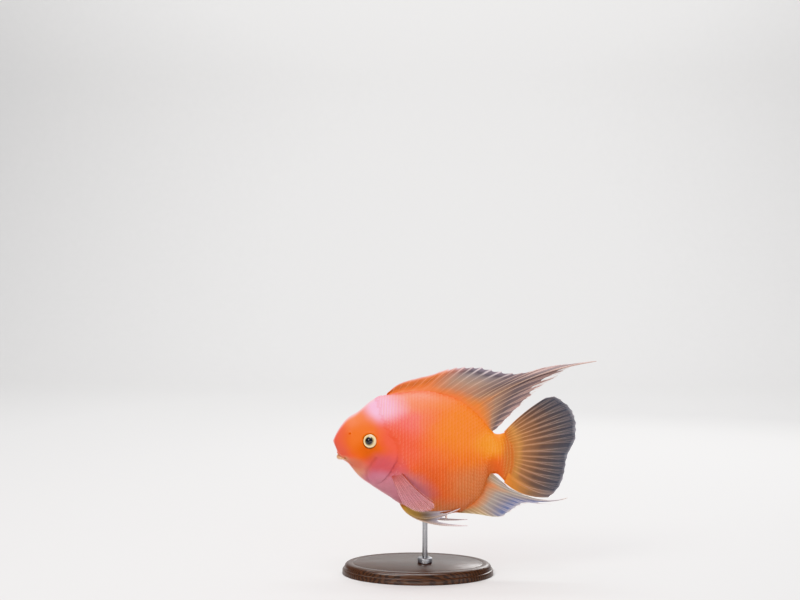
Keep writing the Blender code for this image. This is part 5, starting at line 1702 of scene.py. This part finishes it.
CAUDAL_ZONES = (
    (0.0, 0.0, (
        tones((0.0, (214, 124, 56)), (0.06, (198, 126, 62)), (0.14, (194, 134, 72)), (0.24, (156, 106, 68)),
              (0.50, (104, 78, 66)), (0.78, (80, 74, 78)), (0.95, (74, 76, 88)), (1.0, (132, 132, 140))),
        tones((0.0, (216, 126, 58)), (0.06, (204, 132, 68)), (0.14, (212, 150, 88)), (0.24, (194, 138, 96)),
              (0.50, (142, 106, 84)), (0.78, (98, 88, 88)), (0.95, (84, 84, 94)), (1.0, (146, 144, 152))),
    )),
    (0.94, 0.04, (
        tones((0.0, (230, 136, 54)), (0.25, (196, 126, 58)), (0.60, (138, 104, 76)), (1.0, (104, 98, 104))),
        tones((0.0, (232, 138, 56)), (0.25, (214, 140, 64)), (0.60, (166, 122, 88)), (1.0, (132, 122, 124))),
    )),
)
PECTORAL_ZONES = (
    # First zone: the leading ray, dark red-brown, partly its own colour and partly painted shadow along the
    # fin's upper edge.
    (0.0, 0.0, (
        tones((0.0, (198, 84, 58)), (0.6, (186, 84, 66)), (1.0, (190, 110, 104))),
        tones((0.0, (190, 76, 52)), (0.6, (182, 80, 62)), (1.0, (200, 120, 116))),
    )),
    (0.07, 0.03, (
        tones((0.0, (206, 96, 86)), (0.12, (206, 118, 116)), (0.40, (202, 132, 138)), (1.0, (198, 138, 152))),
        tones((0.0, (210, 100, 90)), (0.12, (216, 130, 126)), (0.40, (212, 144, 146)),
              (1.0, (208, 152, 162))),
    )),
)
PELVIC_ZONES = (
    (0.0, 0.0, (
        tones((0.0, (206, 150, 110)), (0.3, (190, 162, 132)), (1.0, (192, 184, 192))),
        tones((0.0, (214, 160, 120)), (0.3, (208, 182, 150)), (1.0, (208, 200, 208))),
    )),
    (0.07, 0.04, (
        tones((0.0, (196, 124, 56)), (0.2, (178, 142, 70)), (0.5, (160, 128, 76)),
              (0.7, (132, 116, 102)), (1.0, (180, 172, 184))),
        tones((0.0, (206, 134, 66)), (0.2, (190, 154, 82)), (0.5, (176, 144, 92)),
              (0.7, (156, 142, 130)), (1.0, (208, 200, 210))),
    )),
)


def fins():
    """Every fin of the fish, the paired ones once for each side."""
    made = [
        Fin("dorsal_fin", "fin", sunk(along_profile(TOP, DORSAL_START, DORSAL_END), ROOT_SUNK, 1),
            DORSAL_TIPS, dorsal_sway, spaced(16, 11, 0.70), 16, 0.0009,
            ((0.0, 0.01), (0.24, 0.02), (0.32, 0.07), (0.74, 0.05), (0.83, 0.26), (0.88, 0.08)),
            DORSAL_ZONES, (1.0, 0.94), bands=(0.16, 0.24), ribbed=0.2, trailing=(18,)),
        Fin("anal_fin", "clear_fin", sunk(along_profile(BOTTOM, ANAL_START, ANAL_END), ROOT_SUNK, -1),
            ANAL_TIPS, anal_sway, spaced(7, 9, 0.52), 7, 0.0008,
            ((0.0, 0.03), (0.6, 0.06), (0.74, 0.10), (0.79, 0.30), (0.88, 0.08)),
            ANAL_ZONES, (1.0, 0.92), bands=(0.20, 0.45), arch_at=0.7, trailing=(12,)),
        Fin("caudal_fin", "clear_fin", caudal_root, CAUDAL_TIPS, caudal_sway,
            [*np.linspace(0, 0.63, 9, endpoint=False), *np.linspace(0.63, 1, 8)], 0, 0.0023,
            ((0.0, 0.014), (1.0, 0.014)),
            CAUDAL_ZONES, (1.0, 0.94), bands=(0.20, 0.50), ribbed=0.2),
    ]
    for word, side in (("left", 1), ("right", -1)):
        made.append(Fin(
            f"pectoral_fin_{word}", "clear_fin", pectoral_root, PECTORAL_TIPS, pectoral_sway,
            list(np.linspace(0, 1, 11)), 0, 0.0007, ((0.0, 0.03), (1.0, 0.03)),
            PECTORAL_ZONES, (0.62, 0.32), side=side, ray_share=0.5,
            frame=frame_of(left_flank(*PECTORAL_PLACE)[0], PECTORAL_AHEAD, PECTORAL_ACROSS),
        ))
        made.append(Fin(
            f"pelvic_fin_{word}", "fin", pelvic_root, PELVIC_TIPS, pelvic_sway,
            list(np.linspace(0, 1, 6)), 0, 0.0007, ((0.0, 0.32), (0.2, 0.24), (0.4, 0.10), (1.0, 0.08)),
            PELVIC_ZONES, (1.0, 0.85), side=side, ray_share=0.8, arch_at=0.22, trailing=(0, 1),
            frame=frame_of(left_flank(*PELVIC_PLACE)[0], PELVIC_AHEAD, PELVIC_ACROSS),
        ))
    return made


def build_fins():
    for fin in fins():
        fin_membrane(fin, membrane_material(fin))
        fin_rays_piece(fin, ray_material(fin))


# Stand

BASE_PROFILE = (
    (0.0000, 0.0000), (0.0000, 0.0034), (0.0004, 0.0042), (0.0013, 0.0046), (0.0016, 0.0052),
    (0.0017, 0.0062), (0.0022, 0.0074), (0.0032, 0.0084), (0.0046, 0.0090), (0.0080, 0.0090),
    (0.0086, 0.0087), (0.0092, 0.0090),
)
ROD_X, ROD_RADIUS, COLLAR_RADIUS = 0.0760, 0.0022, 0.0060
BASE_STEPS, SCREW_STEPS, SCREW_RADIUS = 160, 24, 0.0009


def wood_material():
    """Dark stained wood with long grain and satin varnish."""
    colours = settings().stand
    made, nodes, sockets = new_material(
        "stained_wood", Coat_Weight=0.4, Coat_Roughness=0.22, Specular_IOR_Level=0.5,
    )
    place = nodes.object_place()
    long_way = nodes.vector("MULTIPLY", place, (1.0, 7.0, 7.0))
    bands = nodes.add("ShaderNodeTexWave", {
        "Vector": long_way, "Scale": 26.0, "Distortion": 6.0, "Detail": 3.0, "Detail Scale": 1.4,
    }, bands_direction="Y").outputs["Fac"]
    fibre = nodes.noise(nodes.vector("MULTIPLY", place, (1.0, 24.0, 24.0)), 90.0, 5.0, 0.6)
    shade = nodes.mix(nodes.ramp(bands, 0.15, 0.9), tuple(colours.wood), tuple(colours.grain))
    shade = nodes.mix(nodes.ramp(fibre, 0.45, 0.75, 0.0, 0.5), shade, linear(110, 74, 48))
    surface(nodes, sockets, shade, nodes.ramp(fibre, 0.2, 0.8, 0.3, 0.46), fibre, 0.00006)
    return made


def steel_material():
    """Steel brushed round the rod."""
    made, nodes, sockets = new_material("brushed_steel", Metallic=1.0)
    place = nodes.object_place()
    lines = nodes.noise(nodes.vector("MULTIPLY", place, (1.0, 1.0, 60.0)), 120.0, 4.0, 0.7)
    shade = nodes.mix(nodes.ramp(lines, 0.3, 0.7), tuple(settings().stand.steel), linear(150, 150, 154))
    surface(nodes, sockets, shade, nodes.ramp(lines, 0.2, 0.8, 0.22, 0.42), lines, 0.00002)
    return made


def turned(name, outline, finish, centre_x, steps=48):
    """A turned piece: rings of (radius, height) round an upright axis, closed at both ends."""
    around = full_turn(steps)
    rings = [
        np.column_stack([
            centre_x + radius * np.cos(around), radius * np.sin(around), np.full(steps, height)
        ])
        for radius, height in outline
    ]
    ends = [(centre_x, 0, outline[0][1]), (centre_x, 0, outline[-1][1])]
    return add_object(name, closed_rings(name, rings, ends, sharp=math.radians(35)), finish)


def build_stand():
    """Moulded oval base, a collar with its set screw and one rod up to the belly."""
    low, high = (np.array(corner) for corner in (BASE_LOW, BASE_HIGH))
    centre, half = (low + high) / 2, (high - low) / 2
    around = full_turn(BASE_STEPS)
    rings = [
        np.column_stack([
            centre[0] + (half[0] - inset) * np.cos(around),
            centre[1] + (half[1] - inset) * np.sin(around),
            np.full(BASE_STEPS, low[2] + height),
        ])
        for inset, height in BASE_PROFILE
    ]
    ends = [(*centre[:2], low[2]), (*centre[:2], low[2] + BASE_PROFILE[-1][1])]
    mesh = closed_rings("stand_base_wood", rings, ends, np.asarray, 0.6)
    finish_piece(add_object("stand_base_wood", mesh, wood_material()), "base_wood", "stand_base")

    steel = steel_material()
    foot = float(high[2]) - ORIGIN[2]
    collar_top = float(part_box("stand_collar")[1][2]) - ORIGIN[2]
    rod_top = float(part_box("stand_rod")[1][2]) - ORIGIN[2]
    collar = turned("stand_collar_steel", (
        (COLLAR_RADIUS - 0.0003, foot), (COLLAR_RADIUS, foot + 0.0003),
        (COLLAR_RADIUS, collar_top - 0.0009), (COLLAR_RADIUS - 0.0002, collar_top - 0.0004),
        (COLLAR_RADIUS - 0.0008, collar_top), (ROD_RADIUS + 0.0003, collar_top),
        (ROD_RADIUS + 0.0001, collar_top - 0.0004),
    ), steel, ROD_X)
    finish_piece(collar, "rod_steel", "stand_collar")
    rod = turned("stand_rod_steel", (
        (ROD_RADIUS, foot + 0.0003), (ROD_RADIUS, rod_top - 0.0030),
        (ROD_RADIUS * 1.28, rod_top - 0.0026), (ROD_RADIUS * 1.32, rod_top - 0.0008),
        (ROD_RADIUS * 1.2, rod_top),
    ), steel, ROD_X, 40)
    finish_piece(rod, "rod_steel", "stand_rod")
    build_set_screw(steel, (foot + collar_top) / 2)


def build_set_screw(steel, level):
    """Small grub screw with a hexagonal socket, in the collar's left side."""
    steps, radius = SCREW_STEPS, SCREW_RADIUS
    around = full_turn(steps)
    socket = radius * 0.52 / np.cos((around % (math.pi / 3)) - math.pi / 6)
    rings = []
    for size, depth in (
        (np.full(steps, radius), -0.0008), (np.full(steps, radius), 0.00020),
        (np.full(steps, radius * 0.9), 0.00030), (socket, 0.00030), (socket * 0.96, -0.0003),
    ):
        y = -COLLAR_RADIUS - depth
        rings.append(np.column_stack([
            ROD_X + size * np.cos(around), np.full(steps, y), level + size * np.sin(around)
        ]))
    ends = [rings[0].mean(axis=0), rings[-1].mean(axis=0)]
    mesh = closed_rings("stand_set_screw", rings, ends, sharp=0.5)
    finish_piece(add_object("stand_set_screw", mesh, steel), "rod_steel")


# Stage

FISH_MIDDLE = (0.0998, 0.0, 0.0089)
IMAGE_WIDTH, IMAGE_HEIGHT, SENSOR = 800, 600, 36.0
MIDDLE_PIXEL = (454.2, 441.2)
CLIP_START, CLIP_END = 0.01, 50.0
WHITE = (1.0, 1.0, 1.0)
# Soft lights as (name, place, what it is turned to or None for the fish, size, watts, colour)
LIGHTS = (
    ("key", (-0.60, -0.75, 0.95), None, (0.50, 0.40), 7.4, (1.0, 0.98, 0.96)),
    ("overhead", (-0.12, -0.10, 1.15), None, (0.8, 0.4), 7.8, (1.0, 0.98, 0.99)),
    ("fill", (0.95, -0.95, 0.35), None, (0.8, 0.8), 2.1, (0.96, 0.98, 1.0)),
    ("rim", (0.35, 0.85, 0.55), None, (0.5, 0.4), 3.0, WHITE),
    ("belly", (-0.10, -0.75, 0.02), placed((0.08, 0.0, -0.02)), (0.9, 0.12), 1.4, (1.0, 0.97, 0.94)),
    ("backdrop", (0.0, 0.9, 2.3), (0.0, 2.4, 0.7), (2.6, 0.6), 62.0, WHITE),
)
PAPER = linear(204, 203, 202)
PAPER_ROUGHNESS = 0.75
WORLD_COLOUR, WORLD_STRENGTH = (0.86, 0.88, 0.92, 1.0), 0.42


def soft_light(name, place, target, size, power, tint):
    data = bpy.data.lights.new(name, "AREA")
    data.shape, data.size, data.size_y = "RECTANGLE", size[0], size[1]
    data.energy, data.color = power, tint
    made = bpy.data.objects.new(name, data)
    made.location = place
    made.rotation_euler = (Vector(target) - Vector(place)).to_track_quat("-Z", "Y").to_euler()
    bpy.context.scene.collection.objects.link(made)


def build_camera():
    """Camera at the photo's angle, turned so that the fish falls where the photo has it."""
    stage = settings().stage
    data = bpy.data.cameras.new("camera")
    data.lens, data.sensor_width = stage.lens, SENSOR
    data.clip_start, data.clip_end = CLIP_START, CLIP_END
    camera = bpy.data.objects.new("camera", data)
    bpy.context.scene.collection.objects.link(camera)
    target = Vector(placed(FISH_MIDDLE))
    raised_by = stage.elevation
    back = Vector((0.0, -math.cos(raised_by), math.sin(raised_by)))
    camera.location = target + back * stage.distance
    pixels = stage.lens / SENSOR * IMAGE_WIDTH
    left = math.atan((MIDDLE_PIXEL[0] - IMAGE_WIDTH / 2) / pixels)
    down = math.atan((MIDDLE_PIXEL[1] - IMAGE_HEIGHT / 2) / pixels)
    camera.rotation_euler = (math.pi / 2 - raised_by + down, 0.0, left)
    bpy.context.scene.camera = camera


def paper_material():
    made, nodes, sockets = new_material("pale_paper", Specular_IOR_Level=0.3)
    grain = nodes.noise(nodes.object_place(), 60.0, 4.0)
    pale = tuple(min(1.0, c * 1.04) for c in PAPER)
    rough = nodes.ramp(grain, 0.3, 0.7, PAPER_ROUGHNESS, PAPER_ROUGHNESS + 0.08)
    surface(nodes, sockets, nodes.mix(grain, PAPER, pale), rough)
    return made


def build_stage():
    """Pale floor that sweeps up into a backdrop, soft lights and the camera."""
    floor = float(BASE_LOW[2])
    wide, near, far, bend, high = 3.0, -3.0, 1.6, 0.8, 3.2
    arc = np.linspace(0, math.pi / 2, 24)
    line = [(near, floor), (far, floor)]
    line += [(far + bend * math.sin(a), floor + bend - bend * math.cos(a)) for a in arc[1:]]
    line.append((far + bend, floor + high))
    points = [(x, y, z) for x in (-wide, wide) for y, z in line]
    count = len(line)
    faces = [(i, i + count, i + count + 1, i + 1) for i in range(count - 1)]
    mesh = bpy.data.meshes.new("floor")
    mesh.from_pydata(points, [], faces)
    mesh.shade_smooth()
    add_object("floor_and_backdrop", mesh, paper_material())
    middle = placed(FISH_MIDDLE)
    for name, place, target, size, power, tint in LIGHTS:
        soft_light(name, place, middle if target is None else target, size, power, tint)
    world = bpy.data.worlds.new("studio")
    world.use_nodes = True
    background = world.node_tree.nodes["Background"]
    background.inputs["Color"].default_value = WORLD_COLOUR
    background.inputs["Strength"].default_value = WORLD_STRENGTH
    bpy.context.scene.world = world
    bpy.context.scene.view_settings.view_transform = "Khronos PBR Neutral"
    build_camera()


# Operators and panel


class CICHLID_OT_stage(Operator):
    """Build the pale floor, the soft lights and the camera"""

    bl_idname = "cichlid.stage"
    bl_label = "Stage"

    def execute(self, context):
        build_stage()
        return {"FINISHED"}


class CICHLID_OT_skin(Operator):
    """Build the skin of the head, trunk and tail stalk, the lips and the vent"""

    bl_idname = "cichlid.skin"
    bl_label = "Skin"

    def execute(self, context):
        build_skin()
        build_lips()
        build_vent()
        return {"FINISHED"}


class CICHLID_OT_gill_covers(Operator):
    """Build both gill covers"""

    bl_idname = "cichlid.gill_covers"
    bl_label = "Gill covers"

    def execute(self, context):
        build_gill_covers()
        return {"FINISHED"}


class CICHLID_OT_scales(Operator):
    """Build the coat of scales"""

    bl_idname = "cichlid.scales"
    bl_label = "Scales"

    def execute(self, context):
        build_scales()
        return {"FINISHED"}


class CICHLID_OT_eyes(Operator):
    """Build both eyes"""

    bl_idname = "cichlid.eyes"
    bl_label = "Eyes"

    def execute(self, context):
        build_eyes()
        return {"FINISHED"}


class CICHLID_OT_fins(Operator):
    """Build the membranes and rays of every fin"""

    bl_idname = "cichlid.fins"
    bl_label = "Fins"

    def execute(self, context):
        build_fins()
        return {"FINISHED"}


class CICHLID_OT_stand(Operator):
    """Build the base, the collar and the rod"""

    bl_idname = "cichlid.stand"
    bl_label = "Stand"

    def execute(self, context):
        build_stand()
        return {"FINISHED"}


OPERATORS = (
    CICHLID_OT_stage, CICHLID_OT_skin, CICHLID_OT_gill_covers, CICHLID_OT_scales,
    CICHLID_OT_eyes, CICHLID_OT_fins, CICHLID_OT_stand,
)
GROUPS = (
    CichlidColours, CichlidBody, CichlidScales, CichlidFins, CichlidEyes, CichlidStand,
    CichlidStage, CichlidSettings,
)


class CICHLID_PT_model(Panel):
    """Lists what builds each piece of the model"""

    bl_label = "Cichlid"
    bl_space_type = "VIEW_3D"
    bl_region_type = "UI"
    bl_category = "Cichlid"

    def draw(self, context):
        for operator in OPERATORS:
            self.layout.operator(operator.bl_idname)


def register():
    for made in (*GROUPS, *OPERATORS, CICHLID_PT_model):
        bpy.utils.register_class(made)
    bpy.types.Scene.cichlid = PointerProperty(type=CichlidSettings)


def unregister():
    del bpy.types.Scene.cichlid
    for made in reversed((*GROUPS, *OPERATORS, CICHLID_PT_model)):
        bpy.utils.unregister_class(made)


def main():
    register()
    for operator in OPERATORS:
        section_name, call = operator.bl_idname.split(".")
        getattr(getattr(bpy.ops, section_name), call)()


if __name__ == "__main__":
    main()
